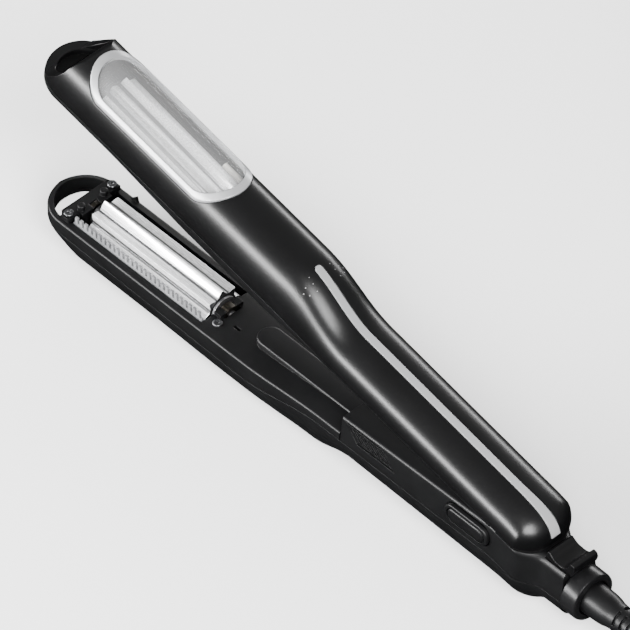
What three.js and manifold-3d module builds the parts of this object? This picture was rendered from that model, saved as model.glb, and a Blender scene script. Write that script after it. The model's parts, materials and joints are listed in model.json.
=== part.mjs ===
// Hair crimper: two hinged arms, each with a fluted roller that turns against the other one.
// Millimetres. +X points to the tip, +Z up. Every X below counts from a section near the hinge. At the end
// the whole assembly moves back by REST_X, so that the origin lies on the flat that the lower arm rests on.
import * as THREE from 'three';
import { mergeVertices } from 'three/addons/utils/BufferGeometryUtils.js';
import Module from 'manifold-3d';

const wasm = await Module();
wasm.setup();

// ---------------------------------------------------------------- driving dimensions
const GAP = 0.3;                // between neighbouring pieces
const WALL = 1.6;               // shell wall
const REST_X = 125;             // middle of the flat that the lower arm rests on

// lower arm
const TIP_CENTRE = 246.6;       // centre of the round tip
const LOWER_HALF = 16;          // half width at the head, and tip radius
const GRIP_HALF = 15.6;         // half width at the housing
const NECK_HALF = 10;
const RIM_Z = 21.5;             // top face of the head
const GRIP_Z = 24;              // top face just before the housing
const COVER_CROWN = 1.2;        // the cover is this much higher on its centre line
const KEEL_HEAD = 1.2;          // lowest line of the belly, above the flat it rests on
const KEEL_REAR = 6.3;
const KEEL_HEEL = 3.2;
const KEEL_NECK = 6;
const RING_BOTTOM = 13.5;       // underside of the hanging loop
const BELLY_FLAT = 4.5;         // half width of the flat that the arm rests on
const BELLY_ROUND = 0.88;       // below 1 the belly is fuller than an ellipse
const STEP_X = 80;              // front of the raised rear housing
const REAR_X = -42;             // rear wall of the neck
const SEAM_TIP = 15;            // height of the parting line
const SEAM_HEAD = 12.8;
const SEAM_GRIP = 19.6;
const SEAM_NECK = 15.5;
const HOUSING_FRONT_Z = 32.6;
const HOUSING_REAR_Z = 34.9;
const BLOCK_Z = 31.2;           // top of the block that carries the lock slider
const RIB_HALF = 5.8;           // raised rib over the drive shaft
const RIB_Z = 25.7;
const RIB_CENTRE = 137;
const LOOP_REAR = 248;
const LOOP_WALL = 2.6;
const CAVITY_FRONT = 244.5;
const BEARING_X = [159.9, 163.9];
const BEARING_Z = 24.2;
const COVER_SCREWS = [[159.3, 8.6]];
const TIP_SCREWS = [[244.2, 12], [244.2, -12]];
const BOTTOM_SCREWS = [[172, 0], [60, 0]];
const TIP_COVER_Z = 24.4;
const NECK_BORE = 8.1;          // for the strain relief
const BUTTON_X = 6.4;
const BUTTON_Z = 27.6;
const SLIDER_HALF = 6.9;
const SLIDER_BED = 1.1;         // depth of the recess that the slider runs in

// comb beside the lower roller
const TEETH = 28;
const TEETH_START = 166;
const TEETH_PITCH = 2.69;
const TEETH_Y = [11.1, 12.2];

// rollers
const LOBES = 8;
const ROLLER_R = 10.2;
const ROOT_R = 7.3;
const ROLLER_X = 200.6;
const ROLLER_LENGTH = 70;
const ROLLER_Z = 20.2;
const AXLE_SPACING = 18.8;      // between the two axles when the arms are closed
const BORE_R = 3.4;

// upper arm, in its own frame: x along the arm, z away from its rim plane
const OPEN_DEG = 12.2;
const CLOSE_DEG = 13.7;         // travel from open to closed
const ARM_Z = 37.3;
const HINGE_X = -8;
const HINGE_Z = 36.5;
const HEAD_HALF = 17.2;
const HANDLE_HALF = 15.8;
const HEAD_H = 25;
const HANDLE_H = 13.3;
const CROWN_POWER = 2.5;
const HEAD_FRONT = 252.6;
const HEAD_FRONT_WALL = 5.6;
const BODY_FRONT = 263;
const UPPER_TIP = 252;
const UPPER_REAR = -28.6;
const REAR_ROUND = -10;         // behind this the handle rounds off
const UPPER_SEAM_HEAD = 5;
const UPPER_SEAM_HANDLE = 1.3;
const POCKET_R = 13;
const WINDOW_X = 204.5;
const WINDOW_LENGTH = 83.8;
const WINDOW_WIDTH = 27.6;
const BEZEL_END = 3.6;          // width of the bezel at its round ends
const BEZEL_SIDE = 1.4;
const STRIP_HALF = 1.7;
const STRIP_REAR_HALF = 2.7;
const STRIP_FRONT = 118;
const STRIP_END_Z = 5.6;

// cord
const CORD_R = 2.8;
const CORD_D = 2 * CORD_R;
const BOOT_END = -86;
const CORD_Z = 17.8;
const HANK_RUN = 90;            // straight length of the hank's runs
const HANK_OUT = 22.4;          // bend radius of its outer turns
const HANK_FLOOR = 1.5;         // the tie passes below the hank
const HANK_LAYERS = 4;
const LEAD_BEND = 24;
const TIE_BAND = 0.6;
const PLUG_HALF_HEIGHT = 6.5;
const PLUG_LENGTH = 32;
const PIN_LENGTH = 19;
const PIN_OFFSET = 9.5;

// ---------------------------------------------------------------- solids
const v3 = (x, y, z) => new THREE.Vector3(x, y, z);
const rad = THREE.MathUtils.degToRad;

function toSolid(geometry) {
  const bare = geometry.clone();
  bare.deleteAttribute('normal');
  bare.deleteAttribute('uv');
  const merged = mergeVertices(bare, 1e-4);
  return new wasm.Manifold(new wasm.Mesh({
    numProp: 3,
    vertProperties: new Float32Array(merged.attributes.position.array),
    triVerts: new Uint32Array(merged.index.array),
  }));
}

function toGeometry(solid) {
  const mesh = solid.getMesh();
  const geometry = new THREE.BufferGeometry();
  geometry.setAttribute('position', new THREE.BufferAttribute(new Float32Array(mesh.vertProperties), 3));
  geometry.setIndex(new THREE.BufferAttribute(new Uint32Array(mesh.triVerts), 1));
  return geometry;
}

const join = (...solids) => solids.reduce((a, b) => a.add(b));
const cut = (body, ...tools) => tools.reduce((a, b) => a.subtract(b), body);

function box(x0, x1, y0, y1, z0, z1) {
  const geometry = new THREE.BoxGeometry(x1 - x0, y1 - y0, z1 - z0);
  geometry.translate((x0 + x1) / 2, (y0 + y1) / 2, (z0 + z1) / 2);
  return toSolid(geometry);
}

// An outline in the XY plane, raised from z0 to z1.
function plate(outline, z0, z1, steps = 6) {
  const geometry = new THREE.ExtrudeGeometry(outline, {
    depth: z1 - z0, bevelEnabled: false, curveSegments: steps,
  });
  geometry.translate(0, 0, z0);
  return toSolid(geometry);
}

// An outline drawn in X and Z, running across from y0 to y1.
function sidePlate(outline, y0, y1, steps = 6) {
  const geometry = new THREE.ExtrudeGeometry(outline, {
    depth: y1 - y0, bevelEnabled: false, curveSegments: steps,
  });
  geometry.rotateX(Math.PI / 2);
  geometry.translate(0, y1, 0);
  return toSolid(geometry);
}

function polygon(points) {
  return new THREE.Shape(points.map(([a, b]) => new THREE.Vector2(a, b)));
}

// A shape with straight sides and round ends, long way along the first axis.
function stadium(cx, cy, length, width) {
  const r = width / 2;
  const half = length / 2 - r;
  const shape = new THREE.Shape();
  shape.absarc(cx + half, cy, r, -Math.PI / 2, Math.PI / 2, false);
  shape.absarc(cx - half, cy, r, Math.PI / 2, 1.5 * Math.PI, false);
  shape.closePath();
  return shape;
}

// A turned solid about a line along X through (y, z); the profile is a list of [x, radius] in either direction.
function turnedX(profile, y, z, segments = 20) {
  const points = profile.map(([x, r]) => new THREE.Vector2(r, x));
  if (THREE.ShapeUtils.isClockWise(points)) points.reverse();
  const geometry = new THREE.LatheGeometry(points, segments);
  geometry.rotateZ(-Math.PI / 2);
  geometry.translate(0, y, z);
  return toSolid(geometry);
}

const rodX = (x0, x1, r, y, z, segments) => turnedX([[x0, 0], [x0, r], [x1, r], [x1, 0]], y, z, segments);

const ringX = (x0, x1, bore, r, y, z, segments) =>
  turnedX([[x0, bore], [x0, r], [x1, r], [x1, bore], [x0, bore]], y, z, segments);

function rodY(y0, y1, r, x, z, segments = 16) {
  const geometry = new THREE.CylinderGeometry(r, r, y1 - y0, segments);
  geometry.translate(x, (y0 + y1) / 2, z);
  return toSolid(geometry);
}

function rodZ(z0, z1, r, x, y, segments = 16) {
  const geometry = new THREE.CylinderGeometry(r, r, z1 - z0, segments);
  geometry.rotateX(Math.PI / 2);
  geometry.translate(x, y, (z0 + z1) / 2);
  return toSolid(geometry);
}

// Skins a row of rings, each with the same number of points, and closes both ends.
function loft(rings) {
  const count = rings[0].length;
  const positions = rings.flat().flatMap((p) => [p.x, p.y, p.z]);
  const index = [];
  for (let i = 0; i < rings.length - 1; i += 1) {
    for (let j = 0; j < count; j += 1) {
      const a = i * count + j;
      const b = i * count + (j + 1) % count;
      index.push(a, b, a + count, b, b + count, a + count);
    }
  }
  for (const [row, flip] of [[0, true], [rings.length - 1, false]]) {
    const centre = rings[row].reduce((sum, p) => sum.add(p), v3(0, 0, 0)).divideScalar(count);
    const hub = positions.length / 3;
    positions.push(centre.x, centre.y, centre.z);
    for (let j = 0; j < count; j += 1) {
      const a = row * count + j;
      const b = row * count + (j + 1) % count;
      index.push(...(flip ? [hub, b, a] : [hub, a, b]));
    }
  }
  const geometry = new THREE.BufferGeometry();
  geometry.setAttribute('position', new THREE.Float32BufferAttribute(positions, 3));
  geometry.setIndex(index);
  return toSolid(geometry);
}

// A round cord along a list of points.
function tube(points, radius, steps, sides = 8) {
  const section = new THREE.Shape();
  section.absarc(0, 0, radius, 0, 2 * Math.PI, false);
  return toSolid(new THREE.ExtrudeGeometry(section, {
    extrudePath: new THREE.CatmullRomCurve3(points), steps, curveSegments: sides / 2,
  }));
}

// ---------------------------------------------------------------- profiles along the arms
// Goes smoothly from a to b while x goes from x0 to x1, and is flat outside.
function ease(x, x0, x1, a, b) {
  const t = THREE.MathUtils.clamp((x - x0) / (x1 - x0), 0, 1);
  return a + (b - a) * (0.5 - 0.5 * Math.cos(Math.PI * t));
}

function slope(x, x0, x1, a, b) {
  const t = THREE.MathUtils.clamp((x - x0) / (x1 - x0), 0, 1);
  return a + (b - a) * t;
}

function lowerHalf(x) {
  if (x > TIP_CENTRE) return Math.sqrt(Math.max(0, LOWER_HALF ** 2 - (x - TIP_CENTRE) ** 2));
  if (x < -10) return ease(x, -18, -31, GRIP_HALF, NECK_HALF);
  return ease(x, 150, 90, LOWER_HALF, GRIP_HALF);
}

function keel(x) {
  if (x > 150) return ease(x, 236, 258, ease(x, 150, 200, 0, KEEL_HEAD), RING_BOTTOM);
  if (x > 77) return ease(x, 100, 77, 0, KEEL_REAR);
  return ease(x, -24, -31, slope(x, 77, -22, KEEL_REAR, KEEL_HEEL), KEEL_NECK);
}

function seam(x) {
  if (x > 50) return ease(x, 138, 92, slope(x, 142, 240, SEAM_HEAD, SEAM_TIP), SEAM_GRIP);
  return ease(x, -4, -25, SEAM_GRIP, SEAM_NECK);
}

const coverTop = (x) => ease(x, 137, 90, RIM_Z, GRIP_Z);

function housingTop(x) {
  if (x > -6) return slope(x, -6, STEP_X, HOUSING_REAR_Z, HOUSING_FRONT_Z);
  return slope(x, -6, -22, HOUSING_REAR_Z, BLOCK_Z);
}

// One closed outline across the lower arm: flat, belly arc, side, rounded shoulder, top.
function lowerRing(x, top, inset, lean, shoulder, crown) {
  const half = Math.max(lowerHalf(x) - inset, 0.4);
  const flat = Math.min(BELLY_FLAT, half * 0.3);
  const bottom = keel(x) + inset;
  const waist = Math.min(seam(x) + 1, top - 4);
  const roof = top - inset;
  const edge = Math.min(shoulder, half * 0.5);
  const right = [];
  for (let i = 0; i <= 5; i += 1) {
    const t = (i / 5) * Math.PI / 2;
    const out = Math.sin(t) ** BELLY_ROUND;
    const up = 1 - Math.cos(t) ** BELLY_ROUND;
    right.push([flat + (half - flat) * out, bottom + (waist - bottom) * up]);
  }
  const crest = half - Math.min(lean, half * 0.2);
  for (let i = 0; i <= 2; i += 1) {
    const t = (i / 2) * Math.PI / 2;
    right.push([crest - edge * (1 - Math.cos(t)), roof - edge * (1 - Math.sin(t))]);
  }
  const left = right.map(([y, z]) => [-y, z]).reverse();
  return [...right, [0, roof + Math.min(crown, half * 0.1)], ...left].map(([y, z]) => v3(x, y, z));
}

const FRONT_STATIONS = [88, 97, 108, 120, 137, 150, 175, 200, 236, 242];
const TIP_ANGLES = [0, 22, 42, 60, 74, 84];
const REAR_STATIONS = [-35, -31, -28.5, -26.5, -24.5, -22, -18, -6, 20, 50, 77];

function frontBody(inset, from = STEP_X, to = 400) {
  const tips = TIP_ANGLES.map((a) => TIP_CENTRE + LOWER_HALF * Math.sin(rad(a)));
  const stations = [...FRONT_STATIONS, ...tips].filter((x) => x > from && x < to);
  const ends = [from, ...stations, ...(to < 400 ? [to] : [])];
  return loft(ends.map((x) => lowerRing(x, coverTop(x), inset, 0, 1.2, COVER_CROWN)));
}

function rearBody(inset, from = REAR_X, to = STEP_X) {
  const stations = [from, ...REAR_STATIONS.filter((x) => x > from && x < to), to];
  return loft(stations.map((x) => lowerRing(x, housingTop(x), inset, 1.2, ease(x, -18, -31, 1.6, 4), 0)));
}

// Everything of the lower arm above the seam (side 1) or below it (side -1).
function besideSeam(side) {
  const stations = [-60, -25, -18, -11, -4, 92, 100, 108, 115, 122, 130, 138, 240, 300];
  const line = stations.map((x) => [x, seam(x) + side * GAP / 2]);
  const far = side > 0 ? 60 : -20;
  return sidePlate(polygon([...line, [300, far], [-60, far]]), -40, 40);
}

// ---------------------------------------------------------------- lower arm
function loopHole(z0, z1) {
  const r = LOWER_HALF - LOOP_WALL;
  const x = LOOP_REAR - TIP_CENTRE;
  const a = Math.acos(x / r);
  const shape = new THREE.Shape();
  shape.absarc(TIP_CENTRE, 0, r, -a, a, false);
  shape.closePath();
  return plate(shape, z0, z1, 12);
}

function lowerOuterShell() {
  const outer = join(frontBody(0), rearBody(0));
  const inner = join(frontBody(WALL, STEP_X, CAVITY_FRONT), rearBody(WALL, REAR_X + WALL));
  const shell = cut(outer.intersect(besideSeam(-1)), inner, loopHole(-5, 30));
  return cut(shell, rodX(REAR_X - 5, REAR_X + 5, NECK_BORE, 0, CORD_Z), ...bottomScrewHoles());
}

function bottomScrewHoles() {
  return BOTTOM_SCREWS.map(([x, y]) => rodZ(-5, keel(x) + 5, 1.9, x, y, 12));
}

function ribShape(half, rear) {
  const shape = new THREE.Shape();
  shape.moveTo(rear, -half);
  shape.absarc(RIB_CENTRE, 0, half, -Math.PI / 2, Math.PI / 2, false);
  shape.lineTo(rear, half);
  shape.closePath();
  return shape;
}

function guideFin() {
  const x = 231.5;
  const fin = polygon([[x, RIM_Z - 1], [x + 5, RIM_Z - 1], [x + 1.2, RIM_Z + 2.6]]);
  return sidePlate(fin, -LOWER_HALF + 0.4, -LOWER_HALF + 1.6);
}

function lowerInnerCover() {
  const body = frontBody(0, STEP_X + GAP).intersect(besideSeam(1));
  const cavity = frontBody(WALL, STEP_X, CAVITY_FRONT);
  const rib = plate(ribShape(RIB_HALF, STEP_X + GAP), GRIP_Z - 4, RIB_Z, 8);
  const tunnel = plate(ribShape(RIB_HALF - WALL, STEP_X - WALL), 0, RIB_Z - WALL, 8);
  const opening = box(BEARING_X[1] + 0.2, 242.4, -12.4, 11, 5, 40);
  const saddleRoom = box(242, 243.6, -7.4, 7.4, 5, 40);
  const combSeat = box(164.6, 242.4, 10, 12.7, 5, 40);
  const screws = [...COVER_SCREWS, ...TIP_SCREWS].map(([x, y]) => rodZ(0, 40, 1.3, x, y, 12));
  const slot = box(149.8, 153.4, 4.2, 5.6, 0, 40);
  const bearing = box(...BEARING_X, -6.2, 6.2, 16, BEARING_Z);
  const bushSeat = rodX(BEARING_X[0] - 1, 166, 4.9, 0, ROLLER_Z);
  const shaftGroove = rodX(70, 166, 1.5, 0, ROLLER_Z, 12);
  return cut(join(cut(body, cavity), cut(rib, cavity), guideFin(), bearing),
    tunnel, opening, saddleRoom, combSeat, loopHole(-5, 60), slot, bushSeat, shaftGroove, ...screws);
}

function lowerTipCover() {
  const outline = [[239.8, 8], [241.8, 8], [241.8, 14.3], [246, 14.3], [LOOP_REAR, 12.5]];
  const mirrored = outline.map(([x, y]) => [x, -y]).reverse();
  const lid = cut(plate(polygon([...mirrored, ...outline]), RIM_Z - 2, TIP_COVER_Z), frontBody(-GAP, 230));
  const saddle = box(239.8, 243.2, -7, 7, 12, TIP_COVER_Z);
  const pads = [6.2, -6.2].map((y) => rodZ(TIP_COVER_Z - 0.5, TIP_COVER_Z + 2.4, 1.7, 242.9, y, 12));
  const holes = TIP_SCREWS.map(([x, y]) => rodZ(0, 40, 1.3, x, y, 12));
  return cut(join(lid, saddle, ...pads), rodX(230, 242.9, 4.7, 0, ROLLER_Z), rodX(230, 250, 2, 0, ROLLER_Z, 12),
    ...holes);
}

function combGuard() {
  const foot = RIM_Z + 0.1;
  const neck = foot + 1.1;
  const crest = RIM_Z + 4.1;
  const ends = [TEETH_START - 1, TEETH_START + TEETH * TEETH_PITCH];
  const outline = [[ends[0], foot], [ends[1], foot]];
  for (let i = TEETH - 1; i >= 0; i -= 1) {
    const x = TEETH_START + i * TEETH_PITCH;
    outline.push([x + 1.7, neck], [x + 1.6, crest], [x + 0.2, crest], [x + 0.1, neck]);
  }
  outline.push([ends[0], neck]);
  const wall = sidePlate(polygon(outline), ...TEETH_Y);
  const root = box(...ends, ...TEETH_Y, RIM_Z - 1.6, foot + 0.4);
  return join(wall, root);
}

function ventGrille() {
  const y0 = 13.4;
  const frame = polygon([[80 - 3.2, 31.3], [56, 31.3], [49.2, 24.6], [80 - 9.2, 24.6]]);
  const panel = sidePlate(frame, y0, 14.7);
  const slots = [];
  for (let i = 0; i < 9; i += 1) {
    const x = 74 - i * 2.1;
    slots.push(sidePlate(polygon([[x, 30.6], [x - 1, 30.6], [x - 6.4, 25.3], [x - 5.4, 25.3]]), 0, 30));
  }
  return cut(panel, ...slots);
}

function ventOpening() {
  return sidePlate(polygon([[77.2, 31.6], [55.8, 31.6], [48.5, 24.3], [70.6, 24.3]]), 10, 30);
}

function rearHousing() {
  const body = rearBody(0, REAR_X, STEP_X - GAP).intersect(besideSeam(1));
  const bedZ = BLOCK_Z - SLIDER_BED;
  const deck = box(REAR_X, -24.6, -9.5, 9.5, bedZ - WALL, 40);
  const cavity = cut(rearBody(WALL, REAR_X + WALL, STEP_X - GAP - WALL), deck);
  const sliderBed = box(REAR_X - 5, -29.7, -SLIDER_HALF - GAP, SLIDER_HALF + GAP, bedZ, 40);
  const shaftHole = rodX(60, 90, 3.2, 0, ROLLER_Z);
  const buttonHole = sidePlate(stadium(BUTTON_X, BUTTON_Z, 25.6, 10.8), 5, 30, 8);
  const sliderSlot = box(-40, -32.6, -2.3, 2.3, 25, 40);
  const neckHole = rodX(REAR_X - 5, REAR_X + 5, NECK_BORE, 0, CORD_Z);
  const ears = [7, -9.5].map((y) => join(
    box(HINGE_X - 3.6, HINGE_X + 3.6, y, y + 2.5, BLOCK_Z, HINGE_Z),
    rodY(y, y + 2.5, 3.6, HINGE_X, HINGE_Z)));
  const pinHole = rodY(-20, 20, 1.8, HINGE_X, HINGE_Z, 12);
  const springTrough = rodY(-6.2, 6.2, 2.9, HINGE_X, HINGE_Z);
  const shell = cut(body, springTrough, cavity, shaftHole, buttonHole, sliderBed, sliderSlot, neckHole,
    ventOpening());
  return cut(join(shell, ...ears), pinHole);
}

function buttonRing() {
  const outer = sidePlate(stadium(BUTTON_X, BUTTON_Z, 25, 10.2), 14.6, 16.5, 8);
  return cut(outer, sidePlate(stadium(BUTTON_X, BUTTON_Z, 21.6, 7.2), 10, 30, 8));
}

function sideButton() {
  const cap = sidePlate(stadium(BUTTON_X, BUTTON_Z, 21, 6.6), 12.9, 16.3, 8);
  const crown = sidePlate(stadium(BUTTON_X, BUTTON_Z, 19.4, 5), 16, 16.8, 8);
  return join(cap, crown);
}

// A low plate with a ridge at the front and a thumb lip at the rear.
function lockSlider() {
  const base = BLOCK_Z - SLIDER_BED + GAP;
  const side = polygon([[-30.2, base], [-30.4, 33.8], [-31, 34.2], [-31.8, 34], [-34, 32.2], [-37, base + 1.3],
    [-39.6, base + 1.5], [-42, 33.6], [-43.2, 36], [-44.6, 36.2], [-45.6, 35.4], [-45.8, 33.4], [-44.6, base]]);
  const geometry = new THREE.ExtrudeGeometry(
    polygon([[-SLIDER_HALF, base], [SLIDER_HALF, base], [SLIDER_HALF - 0.7, 38], [0.7 - SLIDER_HALF, 38]]),
    { depth: 30, bevelEnabled: false });
  geometry.rotateX(Math.PI / 2);
  geometry.rotateZ(Math.PI / 2);
  geometry.translate(-50, 0, 0);
  const stem = box(-36.6, -33, -1.9, 1.9, 26.2, base + 1);
  return join(sidePlate(side, -10, 10).intersect(toSolid(geometry)), stem);
}

function collarRing() {
  const front = REAR_X - GAP;
  return turnedX([[front, 8], [front, 11], [front - 7.2, 11], [front - 8, 10.2], [front - 8, 8], [front, 8]],
    0, CORD_Z, 24);
}

function strainRelief() {
  const profile = [[-37, 0], [-37, 7.9], [-39.8, 7.9], [-39.8, 7.2], [-57, 7], [-64, 5.9]];
  const ribs = 6;
  const pitch = (-BOOT_END - 65) / ribs;
  for (let i = 0; i < ribs; i += 1) {
    const x = -65 - i * pitch;
    const r = 5.9 - i * 0.3;
    profile.push([x, r], [x - pitch * 0.6, r], [x - pitch * 0.6, r - 1], [x - pitch, r - 1]);
  }
  profile.push([BOOT_END, 0]);
  return turnedX(profile, 0, CORD_Z, 14);
}

function coil(length, turns, radius, wire, steps) {
  const points = [];
  for (let i = 0; i <= turns * steps; i += 1) {
    const t = i / steps;
    const a = 2 * Math.PI * t;
    points.push(v3(radius * Math.cos(a), (t / turns - 0.5) * length, radius * Math.sin(a)));
  }
  return tube(points, wire, turns * steps, 4);
}

// ---------------------------------------------------------------- roller sets, about a line along X
function rollerOutline(phase) {
  const points = [];
  const parts = 6;
  for (let i = 0; i < LOBES * parts; i += 1) {
    const t = (i % parts) / parts;
    const away = Math.min(t, 1 - t) * 2;
    const r = ROOT_R + (ROLLER_R - ROOT_R) * (1 - Math.sin(away * Math.PI / 2)) ** 0.8;
    const a = (2 * Math.PI * i) / (LOBES * parts) + phase;
    points.push([r * Math.cos(a), r * Math.sin(a)]);
  }
  return points;
}

function fluted(phase) {
  const shape = polygon(rollerOutline(phase));
  const hole = new THREE.Path();
  hole.absarc(0, 0, BORE_R, 0, 2 * Math.PI, true);
  shape.holes.push(hole);
  const geometry = new THREE.ExtrudeGeometry(shape, {
    depth: ROLLER_LENGTH, bevelEnabled: false, curveSegments: 8,
  });
  geometry.rotateY(Math.PI / 2);
  geometry.translate(-ROLLER_LENGTH / 2, 0, 0);
  return toSolid(geometry);
}

const HALF_LENGTH = ROLLER_LENGTH / 2;
const frontHub = () => turnedX([[HALF_LENGTH + GAP, 2], [HALF_LENGTH + GAP, 6.4], [HALF_LENGTH + 2, 6.4],
  [HALF_LENGTH + 2, 2.7], [HALF_LENGTH + 6.4, 2.7], [HALF_LENGTH + 6.4, 2], [HALF_LENGTH + GAP, 2]], 0, 0, 16);
const frontBush = () => ringX(HALF_LENGTH + 4.6, HALF_LENGTH + 6.8, 3, 4.4, 0, 0, 16);
const heaterCore = () => turnedX([[-33, 0], [-33, 2.9], [33, 2.9], [33, 1.6], [HALF_LENGTH + 7.6, 1.6],
  [HALF_LENGTH + 7.6, 0]], 0, 0, 14);
const driveShaft = (rear) => turnedX([[-HALF_LENGTH - GAP, 0], [-HALF_LENGTH - GAP, 6.4],
  [-HALF_LENGTH - 1.3, 6.4], [-HALF_LENGTH - 1.3, 2.2], [-HALF_LENGTH - 6.2, 2.2], [-HALF_LENGTH - 6.2, 1.2],
  [rear, 1.2], [rear, 0]], 0, 0, 14);
const rearBush = () => ringX(-HALF_LENGTH - 5.6, -HALF_LENGTH - 1.9, 2.5, 4.6, 0, 0, 16);

// ---------------------------------------------------------------- upper arm
// 1 along the handle, falling to 0 at its round rear end.
function rearRound(x, power) {
  const t = THREE.MathUtils.clamp((REAR_ROUND - x) / (REAR_ROUND - UPPER_REAR), 0, 1);
  return (1 - t ** power) ** (1 / 2.2);
}

function upperHalf(x) {
  if (x > UPPER_TIP) return Math.sqrt(Math.max(0, HEAD_HALF ** 2 - (x - UPPER_TIP) ** 2));
  if (x < REAR_ROUND) return Math.min(HANDLE_HALF, HANDLE_HALF * rearRound(x, 2.4) + 1.6);
  return ease(x, 85, 130, HANDLE_HALF, HEAD_HALF);
}

function crownHeight(x) {
  if (x < REAR_ROUND) return (HANDLE_H - 2.2) * rearRound(x, 2.6) + 2.2;
  return ease(x, 84, 122, slope(x, 0, 84, HANDLE_H, HANDLE_H + 0.8), HEAD_H);
}

const upperSeam = (x) => ease(x, 88, 126, UPPER_SEAM_HANDLE, UPPER_SEAM_HEAD);

function upperRing(x, inset) {
  const half = Math.max(upperHalf(x) - inset, 0.8);
  const high = Math.max(crownHeight(x) - inset, 0.8);
  const ring = [v3(x, half, 0)];
  const parts = 14;
  for (let i = 1; i < parts; i += 1) {
    const a = (Math.PI * i) / parts;
    const c = Math.cos(a);
    const y = half * Math.sign(c) * Math.abs(c) ** (2 / CROWN_POWER);
    ring.push(v3(x, y, high * Math.sin(a) ** (2 / CROWN_POWER)));
  }
  ring.push(v3(x, -half, 0));
  return ring;
}

const UPPER_STATIONS = [UPPER_REAR, -27.6, -25, -20.5, -15, REAR_ROUND, 84, 92, 99, 106, 114, 122, 130, UPPER_TIP,
  256, 260, BODY_FRONT];

function upperBody(inset, from = UPPER_REAR, to = BODY_FRONT) {
  const stations = [from, ...UPPER_STATIONS.filter((x) => x > from && x < to), to];
  return loft(stations.map((x) => upperRing(x, inset)));
}

// Everything of the upper arm above the parting line (side 1) or below it (side -1).
function besideUpperSeam(side) {
  const stations = [-60, 88, 98, 107, 116, 126, 300];
  const line = stations.map((x) => [x, upperSeam(x) + side * GAP / 2]);
  const far = side > 0 ? 80 : -20;
  return sidePlate(polygon([...line, [300, far], [-60, far]]), -40, 40);
}

// The shell's front end in side view: rounded at the crown, then sweeping forward to meet the ring.
function frontCut() {
  return sidePlate(polygon([[243.6, 40], [243.6, HEAD_H + 0.4], [247.4, 24.4], [250, 22.6], [251.8, 19.8],
    [HEAD_FRONT, 17.6], [254, 15.2], [256, 12.4], [258.4, 9.6], [261, 7], [264, UPPER_SEAM_HEAD],
    [270, UPPER_SEAM_HEAD], [270, 40]]), -40, 40);
}

function tipPocket(from, z0, z1) {
  const disc = plate(new THREE.Shape().absarc(UPPER_TIP, 0, POCKET_R, 0, 2 * Math.PI, false), z0, z1, 14);
  return cut(disc, box(200, from, -40, 40, z0 - 5, z1 + 5));
}

const windowPlate = (longer, wider) =>
  plate(stadium(WINDOW_X, 0, WINDOW_LENGTH + 2 * longer, WINDOW_WIDTH + 2 * wider), 8, 60, 7);

function stripPlate(grow) {
  const shape = new THREE.Shape();
  shape.moveTo(-40, -STRIP_REAR_HALF - grow);
  shape.lineTo(-6, -STRIP_HALF - grow);
  shape.absarc(STRIP_FRONT - STRIP_HALF, 0, STRIP_HALF + grow, -Math.PI / 2, Math.PI / 2, false);
  shape.lineTo(-6, STRIP_HALF + grow);
  shape.lineTo(-40, STRIP_REAR_HALF + grow);
  shape.closePath();
  return plate(shape, STRIP_END_Z - grow, 60, 6);
}

function upperOuterShell() {
  const shell = cut(upperBody(0), upperBody(WALL, UPPER_REAR + WALL, HEAD_FRONT - HEAD_FRONT_WALL));
  return cut(shell.intersect(besideUpperSeam(1)),
    frontCut(), tipPocket(HEAD_FRONT, 0, 40), windowPlate(GAP, GAP), stripPlate(GAP));
}

function windowBezel() {
  const skin = cut(upperBody(-0.5), upperBody(WALL));
  return cut(skin.intersect(windowPlate(0, 0)), windowPlate(-BEZEL_END, -BEZEL_SIDE));
}

function windowLens() {
  const skin = cut(upperBody(0), upperBody(WALL - 0.3));
  return skin.intersect(windowPlate(-BEZEL_END - GAP, -BEZEL_SIDE - GAP));
}

function lightStrip() {
  const skin = cut(upperBody(-0.2), upperBody(WALL, UPPER_REAR + WALL));
  return skin.intersect(stripPlate(0));
}

// Points round the arm seen from above, drawn in by the wanted amount at each x.
function upperOutline(insetAt, from, to) {
  const right = UPPER_STATIONS.filter((x) => x > from && x < Math.min(to, UPPER_TIP));
  right.unshift(from);
  const points = right.map((x) => [x, upperHalf(x) - insetAt(x)]);
  if (to > UPPER_TIP) {
    for (let angle = 90; angle >= 0; angle -= 7.5) {
      const r = HEAD_HALF - insetAt(UPPER_TIP);
      points.push([UPPER_TIP + r * Math.cos(rad(angle)), r * Math.sin(rad(angle))]);
    }
  } else {
    points.push([to, upperHalf(to) - insetAt(to)]);
  }
  const left = points.filter(([, y]) => y > 0.01).map(([x, y]) => [x, -y]).reverse();
  return [...points, ...left].reverse();
}

// The frame's lower edge is bevelled, most of all at the tip.
function upperPrism() {
  const bevel = (x) => slope(x, 176, 240, 0.4, 2.4);
  const low = upperOutline(bevel, UPPER_REAR, 300);
  const full = upperOutline(() => 0, UPPER_REAR, 300);
  const levels = [[low, 0], [full, 3], [full, UPPER_SEAM_HEAD + 1]];
  return loft(levels.map(([outline, z]) => outline.map(([x, y]) => v3(x, y, z))));
}

function hingeLug(y) {
  const [x, z] = HINGE_ARM;
  const lug = join(box(x - 3, x + 3, y, y + 2, 0.1, z), rodY(y, y + 2, 3.4, x, z));
  return lug.intersect(box(-60, 60, -30, 30, 0, 30));
}

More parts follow.
